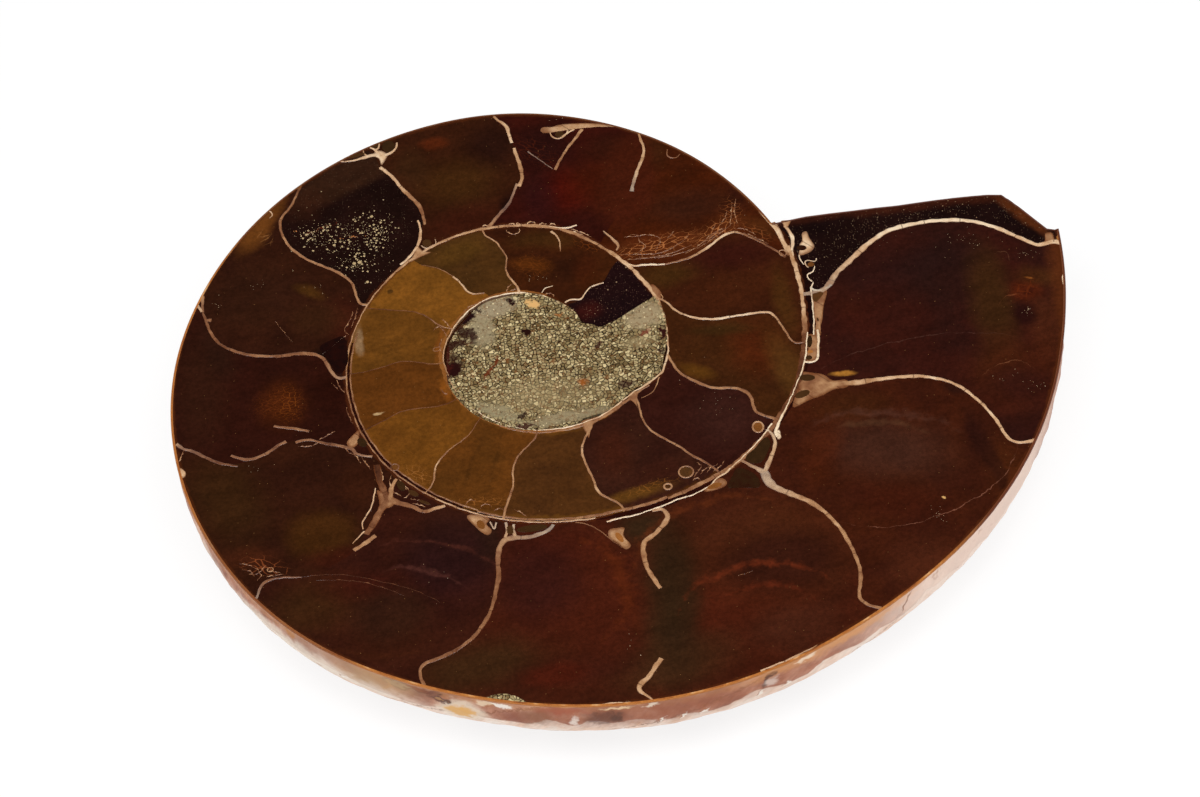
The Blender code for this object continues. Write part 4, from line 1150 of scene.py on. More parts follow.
# Shell in the cut: septa, walls and their torn bits. Each is (points in tenths of a mm, x and y
# in turn, or the name of a chamber's border; widths in hundredths of a mm; tones from 0, dark
# rust, to 100, white; and for some how grey they are), each spread evenly over the length.
shellBars = {
    "septum_01_bar": ("septum_01", (70, 75, 60, 55, 60), (60, 70, 95, 100, 90, 75), (50, 0, 0, 0)),
    "septum_01_foot": ((332, 50, 335, 45, 341, 43, 356, 52), (30, 50, 60), (95, 85), (50, 60)),
    "septum_01_end": ((620, 82, 632, 84, 639, 81, 643, 72), (40, 50, 35), (80, 75)),
    "rim_chip_right": ((639, 38, 634, 26, 635, 10, 635, -4), (12, 20, 12), (95, 90)),
    "septum_02_bar": ((338, -104, 360, -105, 446, -105, 480, -118, 521, -170, 530, -191, 541, -215,
        552, -219, 570, -217), (100, 60, 45, 40, 40, 45), (50, 70, 80, 75, 78, 70)),
    "septum_03_bar": ((249, -226, 252, -240, 287, -269, 342, -368, 343, -397, 340, -423, 347, -432,
        362, -439), (110, 75, 50, 45, 45, 40), (70, 65, 55, 50, 50), (50, 10, 0, 0, 0)),
    "septum_03_inner_arm": ((258, -163, 264, -172, 253, -218, 250, -226), (40, 45, 60), (85, 70, 70),
        (40, 10, 30)),
    "septum_03_outer_arm": ((224, -205, 233, -214, 242, -221, 249, -228), (35, 50, 70), (55, 70), (20, 40)),
    "septum_04_upper": ((114, -268, 125, -267, 131, -275, 121, -294, 113, -303, 103, -310, 99, -322,
        114, -381), (40, 65, 60, 60, 50), (65, 60, 55, 60), (20, 0, 0)),
    "septum_04_lower": ((107, -480, 98, -493, 87, -507, 79, -517, 80, -523, 87, -530, 92, -536),
        (65, 60, 60, 20), (70, 65, 70)),
    "septum_05_bar": ((-2, -274, -8, -281, -20, -286, -35, -289, -60, -290, -66, -300, -70, -340, -75, -366,
        -83, -392, -120, -438, -149, -451, -164, -459, -167, -468, -163, -486), (40, 70, 60, 45, 45, 45, 40),
        (65, 55, 40, 36, 42, 38, 45), (60, 20, 0, 0, 0, 0)),
    "septum_05_arms": ((-57, -264, -56, -275, -59, -286), (30, 35), (70, 65), (50, 10)),
    "septum_05_inner_arm": ((-48, -268, -49, -278, -47, -286), (30, 40), (75, 70), (50, 20)),
    "septum_06_stem": ((-193, -214, -203, -231, -209, -244, -220, -262), (110, 80, 70), (34, 36, 30)),
    "septum_06_edge": ((-206, -195, -218, -234, -224, -248, -223, -254), (16, 20, 16), (80, 70)),
    "septum_06_arm": ((-203, -160, -201, -182, -196, -203, -194, -216), (80, 70, 90), (10, 20, 34)),
    "septum_06_inner_arm": ((-181, -184, -187, -196, -189, -212), (40, 60), (50, 50)),
    "septum_06_web": ((-190, -215, -173, -223, -161, -230, -152, -236, -140, -234, -126, -231),
        (90, 60, 50, 40), (42, 40, 42, 70)),
    "septum_06_chip": ((-209, -265, -222, -275, -235, -284), (50, 60, 55), (55, 62, 50)),
    "septum_06_splinter": ((-222, -257, -230, -266, -236, -274), (20, 14), (80, 60)),
    "septum_06_outer": ((-350, -340, -347, -330, -343, -321, -335, -315, -310, -314, -297, -315),
        (25, 35, 30, 16), (50, 36, 34, 25), (50, 0, 0)),
    "septum_07_outer": ((-439, -99, -430, -108, -420, -113, -410, -120, -385, -136, -367, -142),
        (45, 40, 35, 30), (50, 30, 30), (30, 0)),
    "septum_07_middle": ((-375, -125, -350, -133, -338, -129, -327, -123, -318, -116, -309, -111),
        (35, 42, 40), (40, 42), (10, 10)),
    "septum_07_inner": ((-298, -114, -285, -112, -260, -121, -248, -125, -238, -129, -232, -132, -227, -139,
        -218, -144, -208, -147), (35, 35, 40, 40, 30), (42, 35, 38, 50), (0, 20)),
    "septum_07_needle": ((-323, -86, -302, -92, -281, -99), (30, 40, 35), (38, 42)),
    "septum_08_bar": ("septum_08", (35, 45, 50, 45, 40, 38, 36, 32, 35), (50, 42, 42, 45, 34, 32, 50),
        (30, 0, 0, 0, 20)),
    "septum_09_bar": ("septum_09", (30, 36, 38, 34, 32, 30), (55, 50, 55, 50, 42, 36)),
    "septum_10_bar": ((-179, 313, -163, 293, -151, 270, -136, 248, -128, 211), (50, 45, 50, 55, 30),
        (85, 70, 48, 45), (10, 0, 0)),
    "septum_10_inner": ((-136, 219, -134, 205, -143, 169, -161, 149), (25, 40, 35, 35), (70, 75, 85)),
    "septum_11_outer": ((-33, 381, -26, 372, -19, 363, -16, 350, -13, 333), (30, 45, 45), (60, 80, 88)),
    "septum_11_middle": ((-11, 324, -9, 313, -6, 266, -9, 259), (40, 50, 50), (75, 60, 52, 60)),
    "septum_11_inner": ((-11, 264, -28, 225, -38, 213, -50, 196), (30, 35, 40, 50), (50, 36, 50),
        (30, 30, 10)),
    "septum_12_bar": ((76, 345, 64, 327, 58, 319, 38, 281), (40, 35, 35), (60, 50)),
    "septum_12_loop": ((36, 345, 38, 337, 43, 333, 49, 333.5, 58, 345), (20, 22), (70, 75)),
    "loop_09": ((-329, 250, -327, 258, -319, 258, -315, 251, -319, 246), (12, 22, 12), (70, 90, 70)),
    "septum_12_branch": ((50, 336, 58, 341, 66, 346), (20, 30), (70, 80)),
    "septum_12_thread": ((6, 316, 24, 295, 35, 283), (14, 12), (35, 40), (40, 40)),
    "septum_13_bar": ((146, 329, 147, 317, 150, 303, 143, 277, 129, 233), (28, 40, 40, 50), (60, 72, 72, 65),
        (0, 0, 20, 60)),
    "septum_14_inner": ((112, 120, 121, 112, 130, 111, 160, 109), (20, 30, 25), (70, 100, 100)),
    "septum_14_bar": ((160, 109, 185, 114, 215, 130, 235, 146, 248, 150, 258, 146, 285, 124, 300, 110,
        307, 102), (22, 30, 40, 35, 25, 25, 30), (40, 50, 80, 85, 40, 25, 40)),
    "septum_15_bar": ("septum_15", (25, 30, 36, 32, 28, 20), (55, 75, 90, 85, 60, 35)),
    "septum_16_bar": ("septum_16", (30, 35, 40, 40, 35), (60, 45, 55, 50, 45)),
    "septum_17_bar": ("septum_17", (25, 25, 30, 25), (50, 48, 45, 30)),
    "septum_18_bar": ("septum_18", (35, 25, 30, 30, 25), (50, 60, 60, 50)),
    "septum_19_bar": ("septum_19", (20, 20, 25, 30), (40, 45, 55, 55)),
    "septum_20_bar": ("septum_20", (12, 14, 20, 20), (35, 40, 60, 50)),
    "septum_21_bar": ("border_21", (10, 12, 10), (22, 30, 15)),
    "septum_22_bar": ("border_22", (12, 10, 8), (35, 25, 15)),
    "septum_23_bar": ("border_23", (20, 12, 8), (50, 30, 20)),
    "septum_24_bar": ((-61, 91, -77, 92, -92, 115, -98, 122), (14, 25, 25), (50, 80, 70)),
    "septum_24_trace": ((-98, 122, -112, 135, -136, 146), (12, 8), (45, 35)),
    "septum_25_bar": ("septum_25", (35, 20, 18, 22), (75, 50, 55, 60)),
    "septum_26_stub": ((26, 180, 31, 174, 35, 146), (30, 22, 10), (80, 70, 40)),
    "septum_27_bar": ((35, 63, 43, 67, 53, 66, 59, 73, 66, 82, 84, 89), (25, 20, 16), (90, 85)),
    "column_lining": ((332, 49, 331, 10, 328, -25), (22, 20, 20), (100, 95), (20, 0)),
    "column_edge": ((333, -18, 332.5, -36, 330.5, -50, 325, -66, 313, -66), (30, 32, 30), (90, 95), (10, 0)),
    "gap_lamina": ((321, -20, 318, -35, 317, -45, 311, -70, 271, -159, 268, -169, 270, -176),
        (14, 25, 22, 26, 50), (100, 95, 100, 100)),
    "festoon_band": ((311, 152, 314.5, 145, 317.5, 122, 316, 112, 316, 102), (30, 50, 40, 20), (85, 90, 90),
        (10, 0)),
    "festoon_thread": ((323, 103, 325, 92, 327.5, 87), (16, 14), (100, 100)),
    "festoon_cup": ((344, 95, 342, 91, 336, 92.5, 330, 92, 330, 86, 333, 82), (16, 14, 16), (90, 80),
        (20, 10)),
    "festoon_curl": ((340, 83, 336, 74, 331, 71, 332, 62, 335, 59), (12, 22, 18), (95, 95)),
    "festoon_end": ((336, 57, 334.5, 53, 332, 49), (16, 20), (100, 95)),
    "bottom_lamina": ((60, -277, 70, -275, 100, -270, 115, -265, 130, -261, 145, -254, 160, -251, 175, -244,
        187, -236, 192, -229, 203, -223, 212, -214, 223, -204, 235, -192, 248, -178, 258, -164, 265, -155),
        (25, 18, 22, 16, 25, 20, 25), (95, 100, 90, 100)),
    "bottom_dome_edge": ((24, -274, 40, -280, 63, -304, 75, -317), (14, 12, 10), (40, 40, 30), (10, 0)),
    "lip_lamina": ((-49, -528, 0, -534, 30, -536.5), (16, 22, 20), (70, 75, 80), (50, 60)),
    "knot_right_arm": ((-173, 332, -158, 343, -156, 352), (60, 30, 20), (95, 85, 80), (20, 0)),
    "knot_left_arm": ((-180, 335, -193, 334, -210, 329, -233, 331), (50, 50, 25, 14), (85, 80, 75), (20, 0)),
    "knot_upper_arm": ((-177, 330, -186, 345, -190, 348), (60, 40, 20), (85, 80), (10, 0)),
    "knot_cup": ((-185, 344, -181, 345, -178, 353), (25, 16), (80, 80)),
    "knot_spur": ((-195, 335, -198, 339, -198.5, 344), (25, 12), (75, 70)),
    "pad_arc": ((-134, 177, -128, 172, -116, 179, -117, 185), (14, 18, 14), (70, 65), (30, 30)),
    "hook_bar": ((90, 172, 96, 164, 102, 154, 106, 144, 103, 139), (20, 36, 40, 20), (60, 60), (20, 10)),
    "wing_above_top_wall": ((24, 188, 45, 183.5, 58, 186), (16, 25, 20), (80, 100)),
    "wedge_top_arc": ((150, 52, 153, 56, 151, 62), (16, 14), (60, 60)),
    "corner_thread": ((-261, 19, -250, 27, -240, 37, -232, 44), (10, 12), (45, 50), (50, 30)),
    "rim_knot_08": ((-413, 119, -409, 112, -405, 104), (50, 35), (80, 70), (40, 20)),
    "stub_08": ((-400, 90, -394, 89), (40, 50), (42, 40)),
    "top_thread": ((8, 82, 13, 89, 22, 91), (14, 12), (90, 90)),
    "core_sliver": ((115, -97, 128, -90, 135, -78, 139, -68), (10, 16), (45, 55)),
    "arc_top": ((179, 297, 177.5, 289, 181, 283, 188, 282, 194, 287), (10, 18, 10), (40, 50, 40)),
    "triangle_strokes": ((-75, -261, -71, -272, -68, -263), (16, 20), (80, 80), (40, 40)),
}

# Whorl walls on the cut face: (from, to in degrees of the coil, off the wall in mm, and widths
# and tones as above)
wallBars = {
    "wall_right_band": (-339, -376, -0.2, (70, 55, 55, 80, 80), (75, 70, 70, 18, 15)),
    "wall_lower_band": (-374, -422, -0.15, (80, 70, 60, 50), (15, 35, 50, 45)),
    "wall_bottom_band": (-422, -470, -0.3, (45, 40, 35, 25), (42, 45, 42, 40)),
    "wall_bottom_line": (-440, -482, 0.05, (20, 25, 20), (70, 55, 70)),
    "wall_left_outer_line": (-482, -612, 0, (20, 18, 20, 16, 20, 22), (55, 42, 50, 60, 55, 60)),
    "wall_left_inner_line": (-470, -552, -0.5, (20, 18, 20, 16), (45, 42, 50, 40)),
    "wall_top_line": (-574, -640, -0.05, (25, 35, 42, 45), (55, 66, 62, 55)),
    "wall_top_band": (-628, -668, -0.1, (45, 50, 45, 40), (58, 50, 50, 55)),
    "wall_wedge_band": (-664, -704, 0, (50, 60, 55, 50), (60, 80, 75, 60)),
    "core_wall_right": (-700, -752, 0, (40, 24, 24, 30), (65, 78, 82, 78)),
    "core_wall_bottom": (-750, -800, 0, (28, 22, 20, 22), (82, 78, 82, 90)),
    "core_wall_bottom_glow": (-752, -835, 0.35, (30, 40, 25, 20), (40, 50, 45, 40)),
    "core_wall_lower_left": (-798, -866, 0, (20, 16, 20, 16), (100, 95, 100, 85)),
    "core_wall_left": (-864, -930, 0, (16, 20, 16, 20), (75, 60, 65, 85)),
    "core_wall_top": (-926, -984, 0.05, (20, 20, 18), (90, 95, 95)),
    "core_wall_end": (-974, -1032, -0.05, (20, 25, 20), (85, 90, 85)),
    "lip_lamina_right": (-59.5, -67, -0.5, (10, 20, 22, 25), (60, 65, 75)),
    "lip_chip_1": (-67.6, -71.6, -0.22, (30, 28, 14), (80, 70)),
    "lip_chip_2": (-73.6, -77, -0.22, (10, 30, 20, 12), (70, 80)),
    "lip_chip_3": (-78.4, -81.4, -0.24, (10, 25, 32, 12), (80, 85)),
    "lip_chip_4": (-82.8, -86.2, -0.3, (20, 45, 50, 20), (85, 90)),
    "lip_chip_5": (-101.8, -105.6, -0.22, (14, 34, 20), (90, 80)),
    "lip_chip_6": (-112, -116.5, -0.2, (12, 22, 30, 12), (40, 50)),
    "lip_chip_7": (-135.8, -140.8, -0.22, (10, 25, 12, 22, 10), (70, 80)),
    "lip_chip_8": (-152, -159, -0.2, (10, 14, 20, 10), (50, 60)),
}

# Finer threads, many to a piece: one width and tone for the whole bunch, and points as above
threadBunches = {
    "fibres_over_septum_14": (12, 40, ((108, 131, 130, 129, 155, 128, 193, 151),
        (115, 122, 170, 126, 195, 136), (128, 132, 139, 142, 132, 152, 130, 160, 122, 162),
        (140, 160, 157, 152, 150, 132), (114, 159, 130, 159, 146, 160), (166, 150, 172, 156, 176, 161),
        (130, 124, 150, 121, 200, 130), (200, 128, 238, 156, 248, 165), (210, 138, 226, 150, 236, 159),
        (244, 159, 247, 175, 250, 196), (232, 163, 240, 176, 243, 186), (249, 156, 260, 154, 274, 142),
        (254, 164, 252, 180, 256, 204), (185, 122, 204, 134, 224, 152, 242, 159),
        (260, 148, 272, 139, 288, 126), (222, 156, 227, 166))),
    "frills_over_top_wall": (15, 60, ((-27, 193, -25, 198, -20, 198, -18, 193),
        (-17, 193, -14, 199, -10, 194), (-3, 192, -1, 197, 4, 199, 8, 194), (12, 191, 16, 195, 21, 192),
        (23, 189, 28, 192, 33, 189), (-29, 189, -25, 183, -13, 184, -12, 189),
        (-58, 198, -54, 200, -50, 197), (46, 178, 56, 174, 66, 168), (50, 181, 62, 174, 74, 165))),
    "crackle_at_septum_06": (11, 38, ((-368, -287, -355, -292, -346, -300),
        (-358, -304, -349, -304, -338, -293), (-347, -301, -344, -308, -349, -314),
        (-336, -299, -331, -302, -322, -306), (-338, -310, -328, -309, -318, -308),
        (-366, -296, -356, -300, -352, -308))),
    "threads_at_septum_07": (13, 42, ((-430, -109, -434, -119, -438, -130),
        (-295, -120, -283, -122, -270, -118), (-270, -114, -260, -108, -250, -103),
        (-232, -134, -226, -146, -222, -155), (-220, -146, -216, -156, -210, -166),
        (-240, -130, -234, -138, -228, -142))),
    "threads_at_left_wall": (11, 36, ((-222, 82, -227, 66, -233, 52, -228, 44),
        (-216, 86, -220, 70, -225, 56), (-246, -24, -242, -36, -237, -46), (-236, -68, -233, -82, -229, -94),
        (-250, -30, -244, -40))),
    "threads_in_web": (12, 50, ((-187, -178, -189, -192, -182, -206, -176, -210),
        (-172, -196, -166, -206, -174, -214), (-166, -216, -156, -219, -146, -227),
        (-164, -222, -156, -226, -149, -230), (-199, -166, -197, -180, -199, -190),
        (-178, -184, -174, -192, -170, -202))),
    "swirls_by_the_core": (14, 40, ((-109, 26, -122, 44, -126, 38), (-106, 36, -109, 48, -116, 56),
        (-117, 2, -120, 14, -116, 24), (-88, 64, -82, 70, -72, 74), (-34, 88, -32, 96, -26, 102),
        (-30, 90, -22, 94, -24, 99), (82, -102, 90, -100, 96, -94), (-121, -54, -116, -62, -114, -60),
        (12, 79, 20, 80, 22, 74))),
    "frills_on_bottom_wall": (12, 38, ((166, -224, 172, -216, 176, -208, 172, -202),
        (174, -221, 180, -214, 186, -210), (182, -219, 188, -212, 196, -208),
        (190, -218, 198, -212, 204, -204), (-102, -232, -96, -226, -90, -228),
        (-86, -240, -80, -234, -72, -238), (-46, -246, -38, -252, -32, -259),
        (-58, -246, -64, -242, -70, -246), (164, -229, 170, -226, 174, -229))),
    "scratch_in_chamber_08": (5, 40, ((-317, 78, -306, 58, -297, 42),)),
    "scratch_in_chamber_03": (5, 35, ((204, -374, 222, -369),)),
    "trace_of_septum_06": (7, 12, ((-297, -315, -252, -317, -207, -332, -161, -354, -139, -371),
        (-280, -322, -230, -330, -180, -356))),
}

# Closed rings of shell: (x, y, half length, half width, turn, line width, tone)
shellRings = {
    "ring_at_septum_16": (24.8, -15.8, 0.62, 0.8, 0, 0.24, 0.55),
    "ring_bottom_1": (15.8, -21.5, 0.85, 0.85, 0, 0.2, 0.5),
    "ring_bottom_2": (13.5, -23.4, 0.45, 0.42, 0, 0.24, 0.5),
    "ring_left": (-18.2, -16.6, 0.45, 0.5, 0, 0.16, 0.3),
    "ring_at_septum_06": (-33.3, -30, 0.35, 0.3, 0, 0.12, 0.5),
    "ring_at_core": (-12.3, 0.9, 0.5, 0.3, 10, 0.12, 0.45),
    "ring_at_septum_14": (30.4, 10.9, 0.4, 0.5, 30, 0.16, 0.5),
}


def spread(values, stations):
    # Values given at even shares of a length, read at every station
    return np.interp(np.linspace(0.0, 1.0, stations), np.linspace(0.0, 1.0, len(values)), values)


def oval(x, y, long, wide, turn, count=28):
    # Ellipse: x = long * cos(t), y = wide * sin(t), turned by an angle
    t = np.linspace(0.0, 2.0 * math.pi, count, endpoint=False)
    flat = np.stack([long * np.cos(t), wide * np.sin(t)], axis=-1)
    c, s = math.cos(math.radians(turn)), math.sin(math.radians(turn))
    return flat @ np.array(((c, s), (-s, c))) + (x, y)


shellInCut = aragonite("aragonite_sawn_and_polished")


def waveringBar(name, path, waver, widths, swell, tones, greys=(0.0,), material=shellInCut, **section):
    # A bar whose place wavers by (mm, wavelengths, seed) and whose width swells by (share,
    # wavelengths, seed); widths, tones and greys are spread over its length
    along = lengthAlong(path)
    path = path + leftOf(path) * (waver[0] * wander(along, *waver[1:]))[:, None]
    half = 0.005 * spread(widths, len(path)) * (1.0 + swell[0] * wander(along, *swell[1:]))
    tones, greys = 0.01 * spread(tones, len(path)), 0.01 * spread(greys, len(path))
    barPiece(name, path, half, material, tones, greys, **section)


def alongWall(start, end, shift, step, count):
    # A stretch of whorl wall between two angles, moved outwards by a shift
    degrees = np.linspace(start, end, count)
    return evenSteps(polar(degrees, wallRadius(degrees) + shift), step=step)


def buildBars():
    # Septa and walls, as crowned bars whose width and place waver a little along the length
    for seed, (name, (place, widths, tones, *greys)) in enumerate(shellBars.items()):
        path = septa[place] if isinstance(place, str) else smoothPath(0.1 * np.array(place), 0.12)
        path = evenSteps(path, step=0.12)
        waver, swell = (0.05, (1.3, 2.9, 4.7), seed), (0.22, (1.4, 3.1, 6.3), seed + 500)
        waveringBar(name, path, waver, widths, swell, tones, *greys)
    for seed, (name, (*stretch, widths, tones)) in enumerate(wallBars.items()):
        waver, swell = (0.06, (1.7, 3.1, 6.7), seed + 60), (0.3, (1.1, 2.3, 7.1), seed + 560)
        waveringBar(name, alongWall(*stretch, 0.15, 300), waver, widths, swell, tones, top=12.59)
    for seed, (name, (width, tone, lines)) in enumerate(threadBunches.items()):
        paths = np.stack([evenSteps(smoothPath(0.1 * np.array(line), 0.1), count=26) for line in lines])
        waves = [wander(lengthAlong(path), (0.5, 0.9, 1.7), seed * 31 + at) for at, path in enumerate(paths)]
        wobble = np.stack(waves)
        paths = paths + leftOf(paths) * (0.09 * wobble)[..., None]
        half = 0.005 * width * (1.0 + 0.5 * wobble) * np.sqrt(np.sin(np.linspace(0.12, math.pi - 0.12, 26)))
        tones = np.clip(0.01 * tone + 0.25 * wobble, 0.0, 1.0)
        barPiece(name, paths, half, shellInCut, tones, top=12.585, crown=0.02)
    for name, (*place, width, tone) in shellRings.items():
        barPiece(name, oval(*place, 32), 0.5 * width, shellInCut, tone, closed=True)


buildBars()
print("septa and walls done")


# Pads of shell where septa meet the walls: (outline and tone, as above)
shellPads = {
    "septum_01_knob": ((621, 83, 622, 92, 623.5, 99.5, 631, 99.5, 632.5, 92, 633, 83), 50),
    "septum_01_column": ((332, 42, 340, 42, 350, 43, 348, 30, 342, 5, 340, -5, 337, -15, 334, -28, 331, -27,
        332, -10, 331, 0, 332, 26), 50),
    "column_foot": ((322, -24, 331, -26, 332, -40, 330, -50, 323, -66, 316, -66, 317, -54, 319, -40), 50),
    "septum_02_root": ((307, -81, 318, -83, 337, -92, 342, -98, 360, -101, 360, -109, 345, -112, 330, -119,
        310, -126, 292, -133, 295, -120, 301, -102), 50),
    "triangle_pad": ((307, 160.5, 313, 161, 319.5, 160, 317, 155, 313, 149, 310, 149, 309, 155), 70),
    "festoon_hook": ((335, 140, 338, 132, 343, 114, 335, 105, 323, 103.5, 324, 109, 326, 120.5, 329, 125,
        332, 139), 80),
    "wall_right_pad": ((282, 180, 289, 174, 307, 138, 310, 124, 313, 106, 311, 104, 307, 114, 303, 128,
        293, 158), 78),
    "septum_04_pad": ((63, -289, 70, -288, 80, -289, 78, -296, 84, -318, 80, -320, 74, -315, 68, -308,
        61, -300), 60),
    "lamina_pad": ((176, -246, 182, -240, 200, -230, 204, -236, 190, -246), 50),
    "triangle_pad_left": ((-101, -249, -94, -264, -84, -277, -78, -280, -74, -274, -79, -263, -76, -259),
        62),
    "septum_07_root": ((-237, -124, -231, -113, -222, -105, -222, -114, -227, -129, -232, -131), 50),
    "septum_10_pad": ((-139, 179, -131, 167, -123, 165, -135, 159, -150, 152, -143, 166), 62),
    "knot_body": ((-177, 317, -171, 326, -169, 333, -183, 341, -186, 334, -180, 328), 90),
    "septum_12_slab": ((24, 349, 27, 354, 36, 353, 44, 355, 60, 356, 110, 348, 124, 343, 110, 345, 95, 346,
        65, 346, 33, 344, 27, 345), 68),
    "core_wall_pad": ((42, -124, 52, -121, 64, -119, 56, -129, 48, -150, 45, -140), 50),
    "core_wall_right_pad": ((99, -94, 106, -86, 110, -86, 109, -100, 110, -116, 106, -104), 50),
    "wedge_corner_pad": ((136, 75, 142, 64, 149, 52, 152, 62, 147, 74, 142, 79), 45),
    "rim_chip_left": ((-436, -136, -431, -140, -430, -150, -433, -152, -436, -146), 75),
    "white_chips": ((-87, -524, -77, -524.5, -67, -528.5, -75, -530.5, -85, -528.5), 95),
    "rim_pad_08": ((-409, 134, -404, 132, -403, 122, -406, 120, -410, 128), 45),
    "white_blob": ((268.5, -166, 271.5, -165, 273.5, -172, 272.5, -179, 270, -180, 268.5, -174), 95),
    "septum_06_pad": ((-204, -198, -196, -204, -186, -210, -184, -218, -192, -226, -201, -224, -203, -212),
        45),
}

# Closed cells between the folds of shell: (outline, or centre, half sizes and turn; tone), in
# tenths of a mm, degrees and percent
darkCells = {
    "cell_hook": ((327.5, 114, 6.2, 4.2, -10), 22), "cell_cup": ((336, 86, 4, 3.5, 0), 72),
    "cell_festoon": ((310.5, 134, 1.6, 4.2, 0), 20), "cell_column_1": ((322, -35, 3, 9.5, -8), 30),
    "cell_column_2": ((318.5, -60, 3.8, 3.6, 0), 38),
    "cell_column_top": ((333.5, 39, 346, 39, 343, 33, 335, 26), 60),
    "cell_column_mark": ((335, -2, 1.2, 3, 10), 50), "cell_root_2a": ((313, -90.5, 9.5, 5, -8), 42),
    "cell_root_2b": ((305, -115, 9.5, 5, 22), 50), "cell_root_3a": ((257, -175, 260, -182, 255, -198,
    248, -210, 237, -212, 229, -204, 240, -191, 250, -179), 32), "cell_root_3b": ((218, -217, 226, -219,
    242, -239, 242, -246, 220, -246, 205, -244, 213, -224), 24),
    "cell_root_5a": ((-27, -276.5, 18, 5, 2), 40),
    "cell_root_5b": ((-54.5, -270, -50.5, -270, -50.5, -282, -54, -282), 50),
    "cell_web_1": ((-176, -195, 4.5, 8, 20), 36), "cell_web_2": ((-162, -208, 7, 3.5, -40), 50),
    "cell_web_3": ((-150, -223, 8, 2, -30), 50), "cell_knot_1": ((-167, 347, 8, 9.5, 0), 34),
    "cell_knot_2": ((-183.5, 350, 3.5, 3.5, 0), 40), "cell_knot_3": ((-208, 337, 12, 3, 12), 50),
    "cell_pad_10": ((-127, 180, 5.5, 6, 0), 50), "cell_loop_12": ((47, 340, 5.5, 5, 0), 42),
    "cell_ring_16": ((248, -158, 5, 6.6, 0), 80), "cell_ring_1": ((158, -215, 7.4, 7.4, 0), 58),
    "cell_root_7": ((-219, -124, 5, 7.5, 30), 32), "cell_ring_left": ((-182, -166, 3.6, 4.2, 0), 70),
    "corner_black": ((-264, 29, -250, 39, -236, 43, -231, 24, -234, -6, -242, -16, -250, -4, -260, 19), 6),
    "triangle_orange": ((-86, -264, 4.5, 7, 20), 80), "triangle_4_orange": ((73, -302, 3.5, 8, 25), 95),
    "lamina_orange": ((189, -240, 9, 4, 15), 85), "column_orange": ((321, -51, 3.5, 2.5, 0), 100),
    "corner_orange": ((637.5, 95, 642.5, 97, 643, 87, 638, 85.5), 100),
    "corner_orange_09": ((-289, 305, -282, 310, -276, 302, -283, 290), 80),
}

# Gaps beside the walls, their near-black painted shade, and rusty fringes of calcite:
# (from, to in degrees, off the wall in mm, and widths and tone as for the walls)
wallGaps = {
    "gap_right": (-344, -372, 0.75, (55, 90, 90, 70, 40), 5),
    "gap_lower_right": (-371, -392, 0.35, (35, 30, 25), 14),
    "gap_bottom": (-411, -440, 0.35, (20, 90, 100, 70, 15), 14),
    "gap_left": (-474, -548, -0.25, (25, 35, 30, 20), 14),
    "gap_lower_left": (-440, -476, -0.12, (10, 16, 20), 14),
    "fringe_core_left": (-850, -936, 0.34, (20, 36, 50, 46, 30, 20), 86),
    "fringe_core_bottom": (-770, -862, 0.3, (50, 35, 45, 35, 50), 90),
    "fringe_core_top": (-934, -1000, 0.26, (35, 25, 30, 20), 85),
}


def buildPads():
    # Pads are outlines filled by shrinking them to their middle; cells lie a hair above them
    for name, (points, tone) in shellPads.items():
        outline = smoothPath(0.1 * np.array(points), 0.12, closed=True)[:-1]
        padPiece(name, outline, shellInCut, 12.588, 0.015, 0.01 * tone)
    cellStone = cellCalcite("cell_calcite")
    for name, (place, tone) in darkCells.items():
        if len(place) == 5:
            outline = oval(*[size / 10 for size in place[:4]], place[4])
        else:
            outline = smoothPath(np.array(place) / 10, 0.12, closed=True)[:-1]
        padPiece(name, outline, cellStone, 12.596, 0.004, tone / 100)
    level = {"material": cellStone, "top": 12.572, "crown": 0.006}
    for seed, (name, (*stretch, widths, tone)) in enumerate(wallGaps.items()):
        still, swell = (0.0, (1.0,), 0), (0.4, (0.9, 1.7, 3.1), seed + 90)
        waveringBar(name, alongWall(*stretch, 0.25, 200), still, widths, swell, (tone,), **level)


# The core and the lens of sand at the lower edge: outlines in tenths of a mm
coreEdge = (
    -9, 84, -37, 81, -56, 77, -97, 36, -109, 14, -113, -17, -112, -50, -105, -67, -83, -99, -55, -118,
    -26, -129, 4, -131, 34, -126, 50, -118, 65, -115, 93, -96, 104, -85, 138, -63, 147, -34, 153, -12,
    154, 12, 151, 39, 142, 59, 132, 47, 119, 35, 104, 27, 82, 22, 75, 19, 66, 24, 54, 28, 49, 40, 32, 62,
)
lensEdge = (
    -107, -522, -99, -514, -88, -509, -76, -508, -63, -512, -52, -520, -45, -528, -63, -529, -88, -526,
)
grains = {"spacing": 0.5, "height": 0.012}   # mm


def grainRelief(plan):
    # Rounded grains on a shaken net: height = size * (1 - (distance to the nearest middle / 0.62)^2)
    net = plan / grains["spacing"]
    cell = np.floor(net)
    nearest = np.full(plan.shape[:-1], 9.0)
    for shiftX in (-1, 0, 1):
        for shiftY in (-1, 0, 1):
            corner = cell + (shiftX, shiftY)
            mixed = np.sin(corner[..., 0] * 127.1 + corner[..., 1] * 311.7) * 43758.5453
            other = np.sin(corner[..., 0] * 269.5 + corner[..., 1] * 183.3) * 43758.5453
            middle = corner + np.stack([mixed - np.floor(mixed), other - np.floor(other)], axis=-1)
            nearest = np.minimum(nearest, np.linalg.norm(net - middle, axis=-1))
    return -grains["height"] * np.clip(nearest / 0.62, 0.0, 1.0) ** 2


